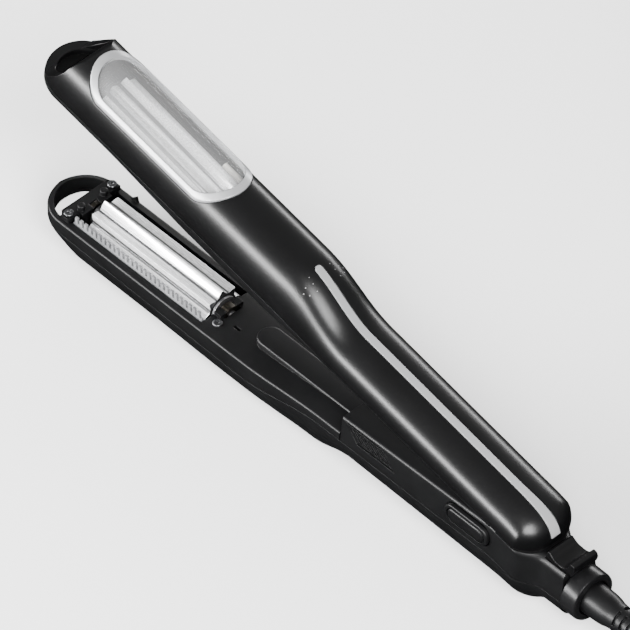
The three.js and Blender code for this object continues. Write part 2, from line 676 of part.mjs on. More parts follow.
function upperInnerFrame() {
  const body = upperPrism().intersect(besideUpperSeam(-1));
  const tray = plate(polygon(upperOutline(() => WALL, 100, HEAD_FRONT - 3)), 1.8, 30);
  const opening = box(ROLLER_X - HALF_LENGTH - 3.4, ROLLER_X + HALF_LENGTH + 4.2, -11.6, 11.6, -5, 30);
  const through = box(HEAD_FRONT, 260.5, -9, 9, -5, 30);
  const earSlot = box(-14.5, -0.8, -9.8, 9.8, -5, 30);
  const pinHole = rodY(-20, 20, 1.9, ...HINGE_ARM, 12);
  const frame = cut(body, tray, opening, tipPocket(HEAD_FRONT, 1.5, 30), through, earSlot);
  return cut(join(frame, hingeLug(9.9), hingeLug(-11.9)), pinHole);
}

// The hinge axis in the upper arm's own frame.
const HINGE_ARM = (() => {
  const a = rad(OPEN_DEG);
  const z = HINGE_Z - ARM_Z;
  return [HINGE_X * Math.cos(a) + z * Math.sin(a), z * Math.cos(a) - HINGE_X * Math.sin(a)];
})();

// Where the upper axle must be in the arm's frame so that it lies over the lower axle when closed.
const UPPER_AXLE = (() => {
  const dx = ROLLER_X - HINGE_X;
  const dz = ROLLER_Z + AXLE_SPACING - HINGE_Z;
  const a = rad(CLOSE_DEG - OPEN_DEG);
  const [x, z] = HINGE_ARM;
  return [x + dx * Math.cos(a) - dz * Math.sin(a), z + dx * Math.sin(a) + dz * Math.cos(a)];
})();

// ---------------------------------------------------------------- cord
const LEAD_START = BOOT_END - 3;
const HANK_NEAR = LEAD_START - 2 * Math.sqrt(LEAD_BEND ** 2 - (LEAD_BEND - HANK_OUT / 2) ** 2);
const HANK_FAR = HANK_NEAR - HANK_RUN;
const layerZ = (n) => HANK_FLOOR + CORD_R + (n - 1) * CORD_D;
const HANK_TOP = HANK_FLOOR + HANK_LAYERS * CORD_D;
const PLUG_Z = HANK_TOP + GAP + PLUG_HALF_HEIGHT;
const PLUG_X = HANK_FAR + 50;

function leadPoints() {
  return [v3(BOOT_END - GAP, 0, CORD_Z), v3(LEAD_START - 3, 0.2, CORD_Z), v3(LEAD_START - 9, 1.6, CORD_Z - 0.2),
    v3(HANK_NEAR + HANK_OUT + CORD_R + GAP + 0.6, 3.2, CORD_Z - 0.4)];
}

function tailPoints() {
  return [v3(HANK_FAR + 32, -5.6, HANK_TOP + CORD_R + 0.5), v3(HANK_FAR + 40, -1.6, PLUG_Z - 1),
    v3(HANK_FAR + 45, -0.3, PLUG_Z - 0.1), v3(PLUG_X - GAP, 0, PLUG_Z)];
}

function cordHank() {
  const width = 2 * (HANK_OUT + CORD_R);
  const centre = (HANK_NEAR + HANK_FAR) / 2;
  return plate(stadium(centre, 0, HANK_RUN + width, width), HANK_FLOOR, HANK_TOP, 8);
}

function cordTie() {
  const centre = (HANK_NEAR + HANK_FAR) / 2 - 20;
  const half = HANK_OUT + CORD_R + GAP;
  const outer = half + TIE_BAND;
  const [low, high] = [HANK_FLOOR - GAP, HANK_TOP + GAP];
  const block = box(centre - 5, centre + 5, -outer, outer, low - TIE_BAND, high + TIE_BAND);
  return cut(block, box(centre - 9, centre + 9, -half, half, low, high));
}

function plugBody() {
  const front = PLUG_X + PLUG_LENGTH;
  const right = [[front, 10], [front - 2, 12], [PLUG_X + 14, 11], [PLUG_X + 6, 5], [PLUG_X, 4]];
  const left = right.map(([x, y]) => [x, -y]).reverse();
  return plate(polygon([...left, ...right]), PLUG_Z - PLUG_HALF_HEIGHT, PLUG_Z + PLUG_HALF_HEIGHT);
}

function plugPin(y) {
  const foot = PLUG_X + PLUG_LENGTH + GAP;
  const end = PLUG_X + PLUG_LENGTH + PIN_LENGTH;
  return turnedX([[foot, 0], [foot, 2], [end - 1, 2], [end, 1.2], [end, 0]], y, PLUG_Z, 12);
}

// ---------------------------------------------------------------- the assembly
const LOOKS = {
  glossBlack: { color: 0x17181a, roughness: 0.18, metalness: 0.1 },
  mattBlack: { color: 0x222326, roughness: 0.62, metalness: 0 },
  darkGrey: { color: 0x3a3c40, roughness: 0.6, metalness: 0 },
  silver: { color: 0xc9cbce, roughness: 0.25, metalness: 0.9 },
  steel: { color: 0x9a9da1, roughness: 0.35, metalness: 0.9 },
  clear: { color: 0xdfe6ea, roughness: 0.05, metalness: 0 },
  comb: { color: 0x8f9296, roughness: 0.5, metalness: 0 },
  ceramic: { color: 0xe8e4dc, roughness: 0.7, metalness: 0 },
  board: { color: 0x1f5a3a, roughness: 0.6, metalness: 0 },
  brass: { color: 0x5a4c38, roughness: 0.45, metalness: 0.8 },
  cord: { color: 0x1c1c1e, roughness: 0.7, metalness: 0 },
};

const crimper = new THREE.Group();
crimper.position.x = -REST_X;
const upperArm = new THREE.Group();
upperArm.position.set(0, 0, ARM_Z);
upperArm.rotation.y = -rad(OPEN_DEG);
const lowerRollerSet = new THREE.Group();
lowerRollerSet.position.set(ROLLER_X, 0, ROLLER_Z);
const upperRollerSet = new THREE.Group();
upperRollerSet.position.set(UPPER_AXLE[0], 0, UPPER_AXLE[1]);
upperRollerSet.rotation.y = -rad(CLOSE_DEG - OPEN_DEG);
upperArm.add(upperRollerSet);
crimper.add(upperArm, lowerRollerSet);

function put(group, name, look, solid) {
  const mesh = new THREE.Mesh(toGeometry(solid), new THREE.MeshStandardMaterial(LOOKS[look]));
  mesh.name = name;
  group.add(mesh);
  return mesh;
}

const screw = (x, y, z, depth) => join(rodZ(z - 0.9, z, 2.1, x, y, 12), rodZ(z - depth, z - 0.5, 1, x, y, 8));

// lower arm
put(crimper, 'lower_outer_shell', 'mattBlack', lowerOuterShell());
put(crimper, 'lower_inner_cover', 'mattBlack', lowerInnerCover());
put(crimper, 'rear_housing', 'mattBlack', rearHousing());
put(crimper, 'lower_tip_cover', 'mattBlack', lowerTipCover());
put(crimper, 'comb_guard', 'comb', combGuard());
put(crimper, 'vent_grille', 'mattBlack', ventGrille());
put(crimper, 'button_ring', 'mattBlack', buttonRing());
put(crimper, 'side_button', 'mattBlack', sideButton());
put(crimper, 'lock_slider', 'glossBlack', lockSlider());
put(crimper, 'collar_ring', 'mattBlack', collarRing());
put(crimper, 'strain_relief', 'mattBlack', strainRelief());
TIP_SCREWS.forEach(([x, y], i) => put(crimper, `tip_screw_${i + 1}`, 'steel',
  screw(x, y, TIP_COVER_Z + GAP + 0.9, 5)));
COVER_SCREWS.forEach(([x, y]) => put(crimper, 'cover_screw', 'steel', screw(x, y, RIM_Z + 1.6, 5)));
BOTTOM_SCREWS.forEach(([x, y], i) => put(crimper, `bottom_screw_${i + 1}`, 'steel',
  join(rodZ(keel(x) + 0.6, keel(x) + 1.6, 1.6, x, y, 12), rodZ(keel(x) + 1, keel(x) + 5, 0.9, x, y, 8))));

// inside the lower arm
put(crimper, 'lower_gearmotor', 'steel',
  join(rodX(38, 58, 8, 0, ROLLER_Z, 18), rodX(57.5, 70, 6.5, 0, ROLLER_Z, 18)));
put(crimper, 'control_board', 'board', box(-4, 34, -11, 11, 16, 17.6));
put(crimper, 'button_switch', 'darkGrey',
  join(box(2.4, 10.4, 5.4, 8.8, 24.6, 30.6), rodY(8.7, 10.6, 1, BUTTON_X, BUTTON_Z, 10)));
const returnSpring = put(crimper, 'button_spring', 'steel', coil(2, 2, 2.3, 0.3, 8));
returnSpring.position.set(BUTTON_X, 10.2, BUTTON_Z);
put(crimper, 'hinge_pin', 'steel', rodY(-13.4, 13.4, 1.5, HINGE_X, HINGE_Z));
const hingeSpring = put(crimper, 'hinge_spring', 'steel', coil(9, 4, 2.1, 0.4, 8));
hingeSpring.position.set(HINGE_X, 0, HINGE_Z);
put(crimper, 'cord_clamp', 'darkGrey', box(-32, -29, -4.5, 4.5, 10.5, 19));
put(crimper, 'lower_thermal_fuse', 'ceramic', rodX(172, 184, 1.4, -10.5, 11.5, 10));

// lower roller set
put(lowerRollerSet, 'lower_roller', 'silver', fluted(0));
put(lowerRollerSet, 'lower_front_hub', 'darkGrey', frontHub());
put(lowerRollerSet, 'lower_drive_shaft', 'steel', driveShaft(70 + GAP - ROLLER_X));
put(lowerRollerSet, 'lower_heater_core', 'ceramic', heaterCore());
put(lowerRollerSet, 'lower_front_bush', 'brass', frontBush());
put(lowerRollerSet, 'lower_rear_bush', 'brass', rearBush());

// upper arm
put(upperArm, 'upper_outer_shell', 'glossBlack', upperOuterShell());
put(upperArm, 'upper_inner_frame', 'mattBlack', upperInnerFrame());
put(upperArm, 'window_bezel', 'silver', windowBezel());
put(upperArm, 'window_lens', 'clear', windowLens());
put(upperArm, 'light_strip', 'clear', lightStrip());
put(upperArm, 'led_board', 'board', box(6, 76, -2.4, 2.4, 8.4, 9.6));
put(upperArm, 'upper_thermal_fuse', 'ceramic', rodX(172, 184, 1.4, -13.2, 8, 10));
[30, 60].forEach((x, i) => put(upperArm, `frame_screw_${i + 1}`, 'steel',
  join(rodZ(1.5, 2.5, 2, x, 0, 12), rodZ(2.2, 6.5, 1, x, 0, 8))));

// upper roller set
put(upperRollerSet, 'upper_roller', 'silver', fluted(Math.PI / LOBES));
put(upperRollerSet, 'upper_front_hub', 'darkGrey', frontHub());
put(upperRollerSet, 'upper_drive_shaft', 'steel', driveShaft(-HALF_LENGTH - 9));
put(upperRollerSet, 'upper_heater_core', 'ceramic', heaterCore());
put(upperRollerSet, 'upper_front_bush', 'brass', frontBush());
put(upperRollerSet, 'upper_rear_bush', 'brass', rearBush());
put(upperRollerSet, 'upper_gearmotor', 'steel', rodX(-HALF_LENGTH - 40, -HALF_LENGTH - 9 - GAP, 4.8, 0, 0, 18));

// cord, hank and plug
put(crimper, 'power_cord', 'cord', tube(leadPoints(), CORD_R, 8));
put(crimper, 'cord_hank', 'cord', cordHank());
put(crimper, 'cord_tail', 'cord', tube(tailPoints(), CORD_R, 6));
put(crimper, 'cord_tie', 'mattBlack', cordTie());
put(crimper, 'plug_body', 'cord', plugBody());
put(crimper, 'plug_pin_1', 'steel', plugPin(PIN_OFFSET));
put(crimper, 'plug_pin_2', 'steel', plugPin(-PIN_OFFSET));

export default crimper;
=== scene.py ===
"""Looks of a two-armed hair crimper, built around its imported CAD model.

Shapes are worked out in millimetres, +X to the tip and +Z up, with X counted from a section near the hinge.
They are then moved back by REST_X and scaled to metres, which is the CAD frame.
"""

import json
import math

import bmesh
import bpy
from mathutils import Matrix, Vector


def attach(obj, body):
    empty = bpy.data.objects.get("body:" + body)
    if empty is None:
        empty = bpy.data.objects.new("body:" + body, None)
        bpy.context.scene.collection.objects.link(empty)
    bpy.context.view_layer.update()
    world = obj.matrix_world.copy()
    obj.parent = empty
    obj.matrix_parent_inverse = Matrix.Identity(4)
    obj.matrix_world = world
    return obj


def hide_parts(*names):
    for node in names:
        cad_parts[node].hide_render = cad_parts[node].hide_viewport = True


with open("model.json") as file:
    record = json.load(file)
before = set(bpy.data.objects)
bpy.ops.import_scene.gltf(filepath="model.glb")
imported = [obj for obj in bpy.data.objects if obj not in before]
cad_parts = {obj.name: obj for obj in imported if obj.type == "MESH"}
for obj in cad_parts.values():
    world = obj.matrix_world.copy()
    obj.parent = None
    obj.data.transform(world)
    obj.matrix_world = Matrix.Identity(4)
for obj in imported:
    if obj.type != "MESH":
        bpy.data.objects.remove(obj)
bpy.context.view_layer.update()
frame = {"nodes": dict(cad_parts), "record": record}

MM = 0.001
REST_X = 125
GAP = 0.3
WALL = 1.6

# lower arm
TIP_CENTRE = 246.6
LOWER_HALF = 16
GRIP_HALF = 15.6
NECK_HALF = 10
RIM_Z = 21.5
STEP_X = 80
REAR_X = -42
RIB_HALF = 5.8
RIB_Z = 25.7
RIB_CENTRE = 137
LOOP_REAR = 248
LOOP_R = 13.4
CAVITY_FRONT = 244.5
TIP_COVER_Z = 24.4
TIP_COVER_FRONT = 242.9
BEARING = (159.9, 163.9)
BEARING_Z = 24.2
TIP_SCREWS = ((244.2, 12), (244.2, -12))
COVER_SCREW = (159.3, 8.6)
BOTTOM_SCREWS = ((172, 0), (60, 0))
BUTTON = (6.4, 27.6)
BUTTON_SIZE = (21, 6.6)
RING_SIZE = (25, 10.2)
RING_HOLE = (21.6, 7.2)
RING_SEAT = (25.6, 10.8)
SLIDER_HALF = 6.9
BLOCK_Z = 31.2
SLIDER_BED_Z = BLOCK_Z - 1.1
NECK_BORE_R = 8.1
SCREW_BORE_R = 1.3
BOTTOM_BORE_R = 1.9
SCREW_HEAD_R = 2.1
BOOT_SLOTS = 6
BOOT_SLOT_FRONT = -66.2
BOOT_SLOT_PITCH = 3.4
HINGE = (-8, 36.5)
CORD_Z = 17.8

# rollers
LOBES = 8
ROLLER_R = 10.2
ROOT_R = 7.3
ROLLER_HALF = 35
# radius below which roller faces get the darker metal as painted groove shade
GROOVE_SHADE_R = 7.75
BORE_R = 3.4
LOWER_AXLE = (200.6, 20.2)
UPPER_AXLE = (194.073, 88.333)
UPPER_AXLE_DEG = 13.7

# upper arm, in its own frame
OPEN_DEG = 12.2
ARM_Z = 37.3
HEAD_FRONT = 252.6
HEAD_FRONT_WALL = 5.6
UPPER_TIP = 252
UPPER_REAR = -28.6
UPPER_HALF = 17.2
UPPER_GRIP_HALF = 15.8
REAR_ROUND_LENGTH = 18.6
BODY_FRONT = 263
REAR_ROUND = -10
POCKET_R = 13
CROWN_POWER = 2.5
WINDOW_X = 204.5
WINDOW = (83.8, 27.6)
BEZEL_END = 3.6
BEZEL_SIDE = 1.4
STRIP_FRONT = 118
STRIP_HALF = 1.7
STRIP_REAR_HALF = 2.7
STRIP_END_Z = 5.6

# cord
CORD_R = 2.8
BOOT_END = -86
LEAD_START = -89
LEAD_BEND = 24
HANK_NEAR = -129.6
HANK_FAR = -219.6
OUTER_TURN = 22.4
INNER_TURN = 16.8
LAYERS = {1: 4.3, 2: 9.9, 3: 15.5, 4: 21.1}
PLUG_X = -169.6
PLUG_Z = 30.7
PLUG_LENGTH = 32
PLUG_HALF_Z = 4.1
PLUG_ROUND = 2.4
TIE_X = -194.6
TIE_HALF_X = 5
TIE_HALF_Y = 25.5
TIE_LOW = 1.2
TIE_HIGH = 24.2
TIE_BAND = 0.55
TIE_CORNER = 3

# view and studio, in metres and degrees
VIEW_AZIMUTH = -133.2
VIEW_ELEVATION = 46
VIEW_DISTANCE = 6.0
VIEW_WIDTH = 0.252
VIEW_CENTRE = Vector((111.05, 0, 57.5))
SENSOR_WIDTH = 36
FLOOR_HALF = 3000
FLOOR_DEPTH = 20
LIGHT_AIM = (0, 0, 0.05)
SKY_HEIGHTS = (-0.05, 0.6)
SKY_STRENGTHS = (0.02, 0.45)
LIGHTS = (
    ("side_box", (0.66, 1.09, 0.42), (2.2, 0.24), 120),
    ("high_box", (-1.5, 0.8, 1.6), (1.2, 1.2), 150),
    ("rim_box", (0.5, -1.3, 0.35), (1.2, 0.2), 16),
)

TO_FRAME = Matrix.Scale(MM, 4) @ Matrix.Translation((-REST_X, 0, 0))
ARM = Matrix.Translation((0, 0, ARM_Z)) @ Matrix.Rotation(-math.radians(OPEN_DEG), 4, "Y")


# ---------------------------------------------------------------- camera
def place_camera():
    """A long lens at the wanted angle, framing VIEW_WIDTH at the middle of the object."""
    azimuth = math.radians(VIEW_AZIMUTH)
    elevation = math.radians(VIEW_ELEVATION)
    back = Vector((
        math.sin(azimuth) * math.cos(elevation),
        -math.cos(azimuth) * math.cos(elevation),
        math.sin(elevation),
    ))
    data = bpy.data.cameras.new("camera")
    data.sensor_width = SENSOR_WIDTH
    data.lens = SENSOR_WIDTH * VIEW_DISTANCE / VIEW_WIDTH
    data.clip_end = 50
    camera = bpy.data.objects.new("camera", data)
    camera.location = TO_FRAME @ VIEW_CENTRE + back * VIEW_DISTANCE
    camera.rotation_euler = back.to_track_quat("Z", "Y").to_euler()
    bpy.context.collection.objects.link(camera)
    bpy.context.scene.camera = camera


place_camera()


# ---------------------------------------------------------------- materials
class Nodes:
    """Short-hand for one material's node tree."""

    def __init__(self, name, base, roughness, metallic=0.0, **sockets):
        self.material = bpy.data.materials.new(name)
        self.material.use_nodes = True
        self.tree = self.material.node_tree
        self.shader = self.tree.nodes["Principled BSDF"]
        self.shader.inputs["Base Color"].default_value = (*base, 1)
        self.shader.inputs["Roughness"].default_value = roughness
        self.shader.inputs["Metallic"].default_value = metallic
        for key, value in sockets.items():
            self.shader.inputs[key.replace("_", " ")].default_value = value
        self.place = self.add("ShaderNodeTexCoord").outputs["Object"]

    def add(self, kind, **values):
        node = self.tree.nodes.new(kind)
        for key, value in values.items():
            if hasattr(node, key):
                setattr(node, key, value)
            else:
                node.inputs[key.replace("_", " ")].default_value = value
        return node

    def link(self, out, into):
        self.tree.links.new(out, into)

    def noise(self, scale, detail=3.0, stretch=(1, 1, 1)):
        mapping = self.add("ShaderNodeMapping", Scale=stretch)
        self.link(self.place, mapping.inputs["Vector"])
        noise = self.add("ShaderNodeTexNoise", Scale=scale, Detail=detail)
        self.link(mapping.outputs["Vector"], noise.inputs["Vector"])
        return noise.outputs["Fac"]

    def ramp(self, fac, low, high):
        node = self.add("ShaderNodeMapRange", To_Min=low, To_Max=high, From_Min=0.3, From_Max=0.7)
        self.link(fac, node.inputs["Value"])
        return node.outputs["Result"]

    def vary_colour(self, fac, dark, light):
        mix = self.add("ShaderNodeMix", data_type="RGBA")
        ends = [socket for socket in mix.inputs if socket.type == "RGBA"]
        ends[0].default_value = (*dark, 1)
        ends[1].default_value = (*light, 1)
        self.link(self.ramp(fac, 0, 1), mix.inputs["Factor"])
        out = [socket for socket in mix.outputs if socket.type == "RGBA"][0]
        self.link(out, self.shader.inputs["Base Color"])

    def vary_roughness(self, fac, low, high):
        self.link(self.ramp(fac, low, high), self.shader.inputs["Roughness"])

    def relief(self, fac, strength, depth, edge=0.0):
        """Bump from a texture, over edges that look rounded."""
        bump = self.add("ShaderNodeBump", Strength=strength, Distance=depth)
        self.link(fac, bump.inputs["Height"])
        if edge:
            soft = self.add("ShaderNodeBevel", samples=6, Radius=edge)
            self.link(soft.outputs["Normal"], bump.inputs["Normal"])
        self.link(bump.outputs["Normal"], self.shader.inputs["Normal"])


def plastic(name, dark, light, roughness, grain=9000, strength=0.15, edge=0.0003, **sockets):
    """Moulded plastic: slight shade drift, uneven gloss and a fine spark-eroded grain."""
    made = Nodes(name, dark, roughness, **sockets)
    made.vary_colour(made.noise(60, 4), dark, light)
    made.vary_roughness(made.noise(900, 4), roughness - 0.015, roughness + 0.02)
    made.relief(made.noise(grain, 2), strength, 0.00006, edge)
    return made.material


def metal(name, dark, light, roughness, stretch=(0.04, 1, 1), strength=0.12, edge=0.0002, metallic=1.0):
    """Metal with fine drawn lines along one direction."""
    made = Nodes(name, light, roughness, metallic)
    lines = made.noise(6000, 3, stretch)
    made.vary_colour(made.noise(150, 3), dark, light)
    made.vary_roughness(lines, roughness - 0.05, roughness + 0.08)
    made.relief(lines, strength, 0.00003, edge)
    return made.material


def clear_plastic(name, tint, roughness, alpha, edge=0.0002):
    """Clear moulded plastic with a faint flow texture and handling haze."""
    made = Nodes(name, tint, roughness, Alpha=alpha, IOR=1.46)
    made.vary_colour(made.noise(80, 3), tint, (min(1, tint[0] * 1.04),) * 3)
    made.vary_roughness(made.noise(300, 5), roughness, roughness + 0.03)
    made.relief(made.noise(700, 3), 0.04, 0.00004, edge)
    return made.material


def board(name):
    """Solder mask over tracks, which show as a slightly lighter grid."""
    made = Nodes(name, (0.02, 0.12, 0.05), 0.4)
    tracks = made.add("ShaderNodeTexBrick", Scale=260.0)
    made.link(made.place, tracks.inputs["Vector"])
    made.vary_colour(tracks.outputs["Fac"], (0.015, 0.1, 0.045), (0.04, 0.2, 0.09))
    made.relief(tracks.outputs["Fac"], 0.3, 0.00005)
    return made.material


MATERIALS = {
    "matte_black": plastic("matte_black", (0.002, 0.002, 0.0022), (0.0034, 0.0035, 0.0037), 0.4,
                           Specular_IOR_Level=0.2),
    "satin_black": plastic("satin_black", (0.003, 0.003, 0.0032), (0.005, 0.005, 0.0053), 0.3, 7000, 0.1,
                           Specular_IOR_Level=0.2),
    "gloss_black": plastic("gloss_black", (0.0012, 0.0012, 0.0013), (0.002, 0.002, 0.0022), 0.3, 2500, 0.008,
                           0.0004, Specular_IOR_Level=0.32),
    "comb_grey": plastic("comb_grey", (0.11, 0.112, 0.116), (0.16, 0.162, 0.167), 0.35),
    "dark_grey": plastic("dark_grey", (0.006, 0.006, 0.0063), (0.01, 0.01, 0.0105), 0.5,
                         Specular_IOR_Level=0.3),
    "screw_steel": metal("screw_steel", (0.1, 0.102, 0.106), (0.16, 0.162, 0.167), 0.3),
    "motor_steel": metal("motor_steel", (0.42, 0.42, 0.44), (0.56, 0.56, 0.58), 0.35),
    "board_green": board("board_green"),
    "ceramic": plastic("ceramic", (0.74, 0.72, 0.66), (0.86, 0.84, 0.79), 0.62, 5000, 0.3),
    "bush_brass": metal("bush_brass", (0.02, 0.018, 0.015), (0.045, 0.04, 0.033), 0.42),
    "cord_black": plastic("cord_black", (0.005, 0.005, 0.0053), (0.009, 0.009, 0.0095), 0.45, 4000, 0.2,
                          Specular_IOR_Level=0.15),
    "bezel_silver": metal("bezel_silver", (0.34, 0.344, 0.352), (0.42, 0.424, 0.432), 0.38,
                          edge=0.0006, metallic=0.5),
    "clear_window": clear_plastic("clear_window", (0.8, 0.81, 0.82), 0.05, 0.09),
    "clear_strip": clear_plastic("clear_strip", (0.26, 0.264, 0.272), 0.2, 0.95, 0.0005),
    "roller_silver": metal("roller_silver", (0.88, 0.885, 0.895), (0.95, 0.955, 0.965), 0.24, metallic=0.55),
    # painted shade: darker metal for the bottoms of the roller grooves, where shade falls
    "groove_painted_shade": metal("groove_painted_shade", (0.2, 0.202, 0.207), (0.28, 0.283, 0.289), 0.35),
}


# ---------------------------------------------------------------- mesh tools, in millimetres
def mesh_object(name, verts, faces):
    mesh = bpy.data.meshes.new(name)
    mesh.from_pydata([tuple(v) for v in verts], [], faces)
    form = bmesh.new()
    form.from_mesh(mesh)
    bmesh.ops.recalc_face_normals(form, faces=form.faces)
    form.to_mesh(mesh)
    form.free()
    made = bpy.data.objects.new(name, mesh)
    bpy.context.collection.objects.link(made)
    return made


def skin(rings, name="part"):
    """Joins rings of equal length one after another and closes both ends."""
    count = len(rings[0])
    verts = [point for ring in rings for point in ring]
    faces = []
    for i in range(len(rings) - 1):
        for j in range(count):
            a = i * count + j
            b = i * count + (j + 1) % count
            faces.append((a, b, b + count, a + count))
    last = (len(rings) - 1) * count
    faces.append(tuple(range(count)))
    faces.append(tuple(last + j for j in range(count)))
    return mesh_object(name, verts, faces)


def plate(outline, z0, z1):
    return skin([[(x, y, z) for x, y in outline] for z in (z0, z1)])


def side_plate(outline, y0, y1):
    """An outline in X and Z, running across."""
    return skin([[(x, y, z) for x, z in outline] for y in (y0, y1)])


def box(x0, x1, y0, y1, z0, z1):
    return plate([(x0, y0), (x1, y0), (x1, y1), (x0, y1)], z0, z1)


def lathe(profile, y, z, steps=64):
    """A turned solid about a line along X; the profile is open and starts and ends near the axis."""
    rings = []
    for x, r in profile:
        ring = []
        for i in range(steps):
            a = 2 * math.pi * i / steps
            ring.append((x, y + max(r, 0.01) * math.cos(a), z + max(r, 0.01) * math.sin(a)))
        rings.append(ring)
    return skin(rings)


def rod(axis, start, end, r, a, b, steps=40):
    """A round rod along X, Y or Z through the other two coordinates a and b."""
    rings = []
    for along in (start, end):
        ring = []
        for i in range(steps):
            angle = 2 * math.pi * i / steps
            p = (a + r * math.cos(angle), b + r * math.sin(angle))
            ring.append({"X": (along, *p), "Y": (p[0], along, p[1]), "Z": (*p, along)}[axis])
        rings.append(ring)
    return skin(rings)


def combine(how, base, *others):
    """Applies one boolean of each other solid to the base, and clears the others away."""
    for other in others:
        step = base.modifiers.new("step", "BOOLEAN")
        step.operation = how
        step.object = other
        step.solver = "EXACT"
        bpy.context.view_layer.update()
        shaped = base.evaluated_get(bpy.context.evaluated_depsgraph_get())
        old = base.data
        base.data = bpy.data.meshes.new_from_object(shaped)
        base.modifiers.clear()
        bpy.data.meshes.remove(old)
        spent = other.data
        bpy.data.objects.remove(other)
        bpy.data.meshes.remove(spent)
    return base


def cut(base, *others):
    return combine("DIFFERENCE", base, *others)


def join(base, *others):
    return combine("UNION", base, *others)


def common(base, *others):
    return combine("INTERSECT", base, *others)


def disc_outline(cx, cy, r, steps):
    """Gives a function of the inset that draws a round outline."""
    def at(inset):
        angles = [2 * math.pi * i / steps for i in range(steps)]
        return [(cx + (r - inset) * math.cos(a), cy + (r - inset) * math.sin(a)) for a in angles]
    return at


def stadium(cx, cy, length, width, steps=24):
    """Points of a shape with straight sides and round ends, long way along the first axis."""
    r = width / 2
    half = length / 2 - r
    points = []
    for end, first in ((half, -90), (-half, 90)):
        for i in range(steps + 1):
            a = math.radians(first + 180 * i / steps)
            points.append((cx + end + r * math.cos(a), cy + r * math.sin(a)))
    return points


def domed(outline_at, z0, z1, r, steps=5):
    """A plate whose upper edge is rounded by r; outline_at(inset) gives its outline drawn in."""
    levels = [(0, z0)]
    for i in range(steps + 1):
        a = math.pi / 2 * i / steps
        levels.append((r * (1 - math.cos(a)), z1 - r + r * math.sin(a)))
    return skin([[(x, y, z) for x, y in outline_at(inset)] for inset, z in levels])


def turn_to_side(piece):
    """Lays a plate built upwards on its side, facing +Y."""
    piece.data.transform(Matrix(((1, 0, 0, 0), (0, 0, 1, 0), (0, 1, 0, 0), (0, 0, 0, 1))))
    piece.data.flip_normals()
    return piece


def finish(piece, name, body, slot, nodes=(), place=None, angle=32):
    """Scales a solid to metres and makes it a piece of the object."""
    if place:
        piece.data.transform(place)
    piece.data.transform(TO_FRAME)
    piece.name = name
    piece.data.name = name
    form = bmesh.new()
    form.from_mesh(piece.data)
    bmesh.ops.remove_doubles(form, verts=form.verts, dist=2e-6)
    bmesh.ops.dissolve_degenerate(form, edges=form.edges, dist=1e-6)
    form.to_mesh(piece.data)
    form.free()
    piece.data.shade_smooth()
    piece.data.set_sharp_from_angle(angle=math.radians(angle))
    piece.data.materials.clear()
    piece.data.materials.append(MATERIALS[slot])
    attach(piece, body)
    if nodes:
        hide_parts(*nodes)
    return piece


def add_bevel(piece, width):
    step = piece.modifiers.new("edges", "BEVEL")
    step.width = width * MM
    step.segments = 2
    step.limit_method = "ANGLE"
    step.angle_limit = math.radians(35)
    step.harden_normals = False


# ---------------------------------------------------------------- profiles along the arms
def share(x, x0, x1):
    return min(1, max(0, (x - x0) / (x1 - x0)))


def ease(x, x0, x1, a, b):
    return a + (b - a) * (0.5 - 0.5 * math.cos(math.pi * share(x, x0, x1)))


def slope(x, x0, x1, a, b):
    return a + (b - a) * share(x, x0, x1)


def lower_half(x):
    if x > TIP_CENTRE:
        return math.sqrt(max(0, LOWER_HALF**2 - (x - TIP_CENTRE) ** 2))
    if x < -10:
        return ease(x, -18, -31, GRIP_HALF, NECK_HALF)
    return ease(x, 150, 90, LOWER_HALF, GRIP_HALF)


def keel(x):
    if x > 150:
        return ease(x, 236, 258, ease(x, 150, 200, 0, 1.2), 13.5)
    if x > 77:
        return ease(x, 100, 77, 0, 6.3)
    return ease(x, -24, -31, slope(x, 77, -22, 6.3, 3.2), 6)


def seam(x):
    if x > 50:
        return ease(x, 138, 92, slope(x, 142, 240, 12.8, 15), 19.6)
    return ease(x, -4, -25, 19.6, 15.5)


def cover_top(x):
    return ease(x, 137, 90, RIM_Z, 24)


def housing_top(x):
    if x > -6:
        return slope(x, -6, STEP_X, 34.9, 32.6)
    return slope(x, -6, -22, 34.9, BLOCK_Z)


def lower_ring(x, top, inset, lean, shoulder, crown):
    """One outline across the lower arm: flat, belly arc, side, rounded shoulder, crowned top."""
    half = max(lower_half(x) - inset, 0.4)
    flat = min(4.5, half * 0.3)
    bottom = keel(x) + inset
    waist = min(seam(x) + 1, top - 4)
    roof = top - inset
    edge = min(shoulder, half * 0.5)
    right = []
    for i in range(17):
        t = i / 16 * math.pi / 2
        out = math.sin(t) ** 0.88
        up = 1 - max(0, math.cos(t)) ** 0.88
        right.append((flat + (half - flat) * out, bottom + (waist - bottom) * up))
    crest = half - min(lean, half * 0.2)
    for i in range(7):
        t = i / 6 * math.pi / 2
        right.append((crest - edge * (1 - math.cos(t)), roof - edge * (1 - math.sin(t))))
    last = right[-1][0]
    for i in range(1, 5):
        y = last * (1 - i / 5)
        right.append((y, roof + min(crown, half * 0.1) * (1 - (y / last) ** 2)))
    left = [(-y, z) for y, z in reversed(right)]
    return [(x, y, z) for y, z in right + left]


def span(start, end, step):
    count = max(1, round((end - start) / step))
    return [start + (end - start) * i / count for i in range(count + 1)]


def belly_stations(start, end):
    """Sections from start to end, or on round the tip where no end is given."""
    if end is not None:
        return span(start, end, 2)
    tip = [TIP_CENTRE + LOWER_HALF * math.sin(math.radians(a)) for a in range(3, 85, 3)]
    return span(start, TIP_CENTRE, 2) + tip


def front_body(inset, start=STEP_X, end=None):
    return skin([lower_ring(x, cover_top(x), inset, 0, 1.2, 1.2) for x in belly_stations(start, end)])


def rear_body(inset, start=REAR_X, end=STEP_X):
    rings = []
    for x in span(start, end, 1.5):
        rings.append(lower_ring(x, housing_top(x), inset, 1.2, ease(x, -18, -31, 1.6, 4), 0))
    return skin(rings)


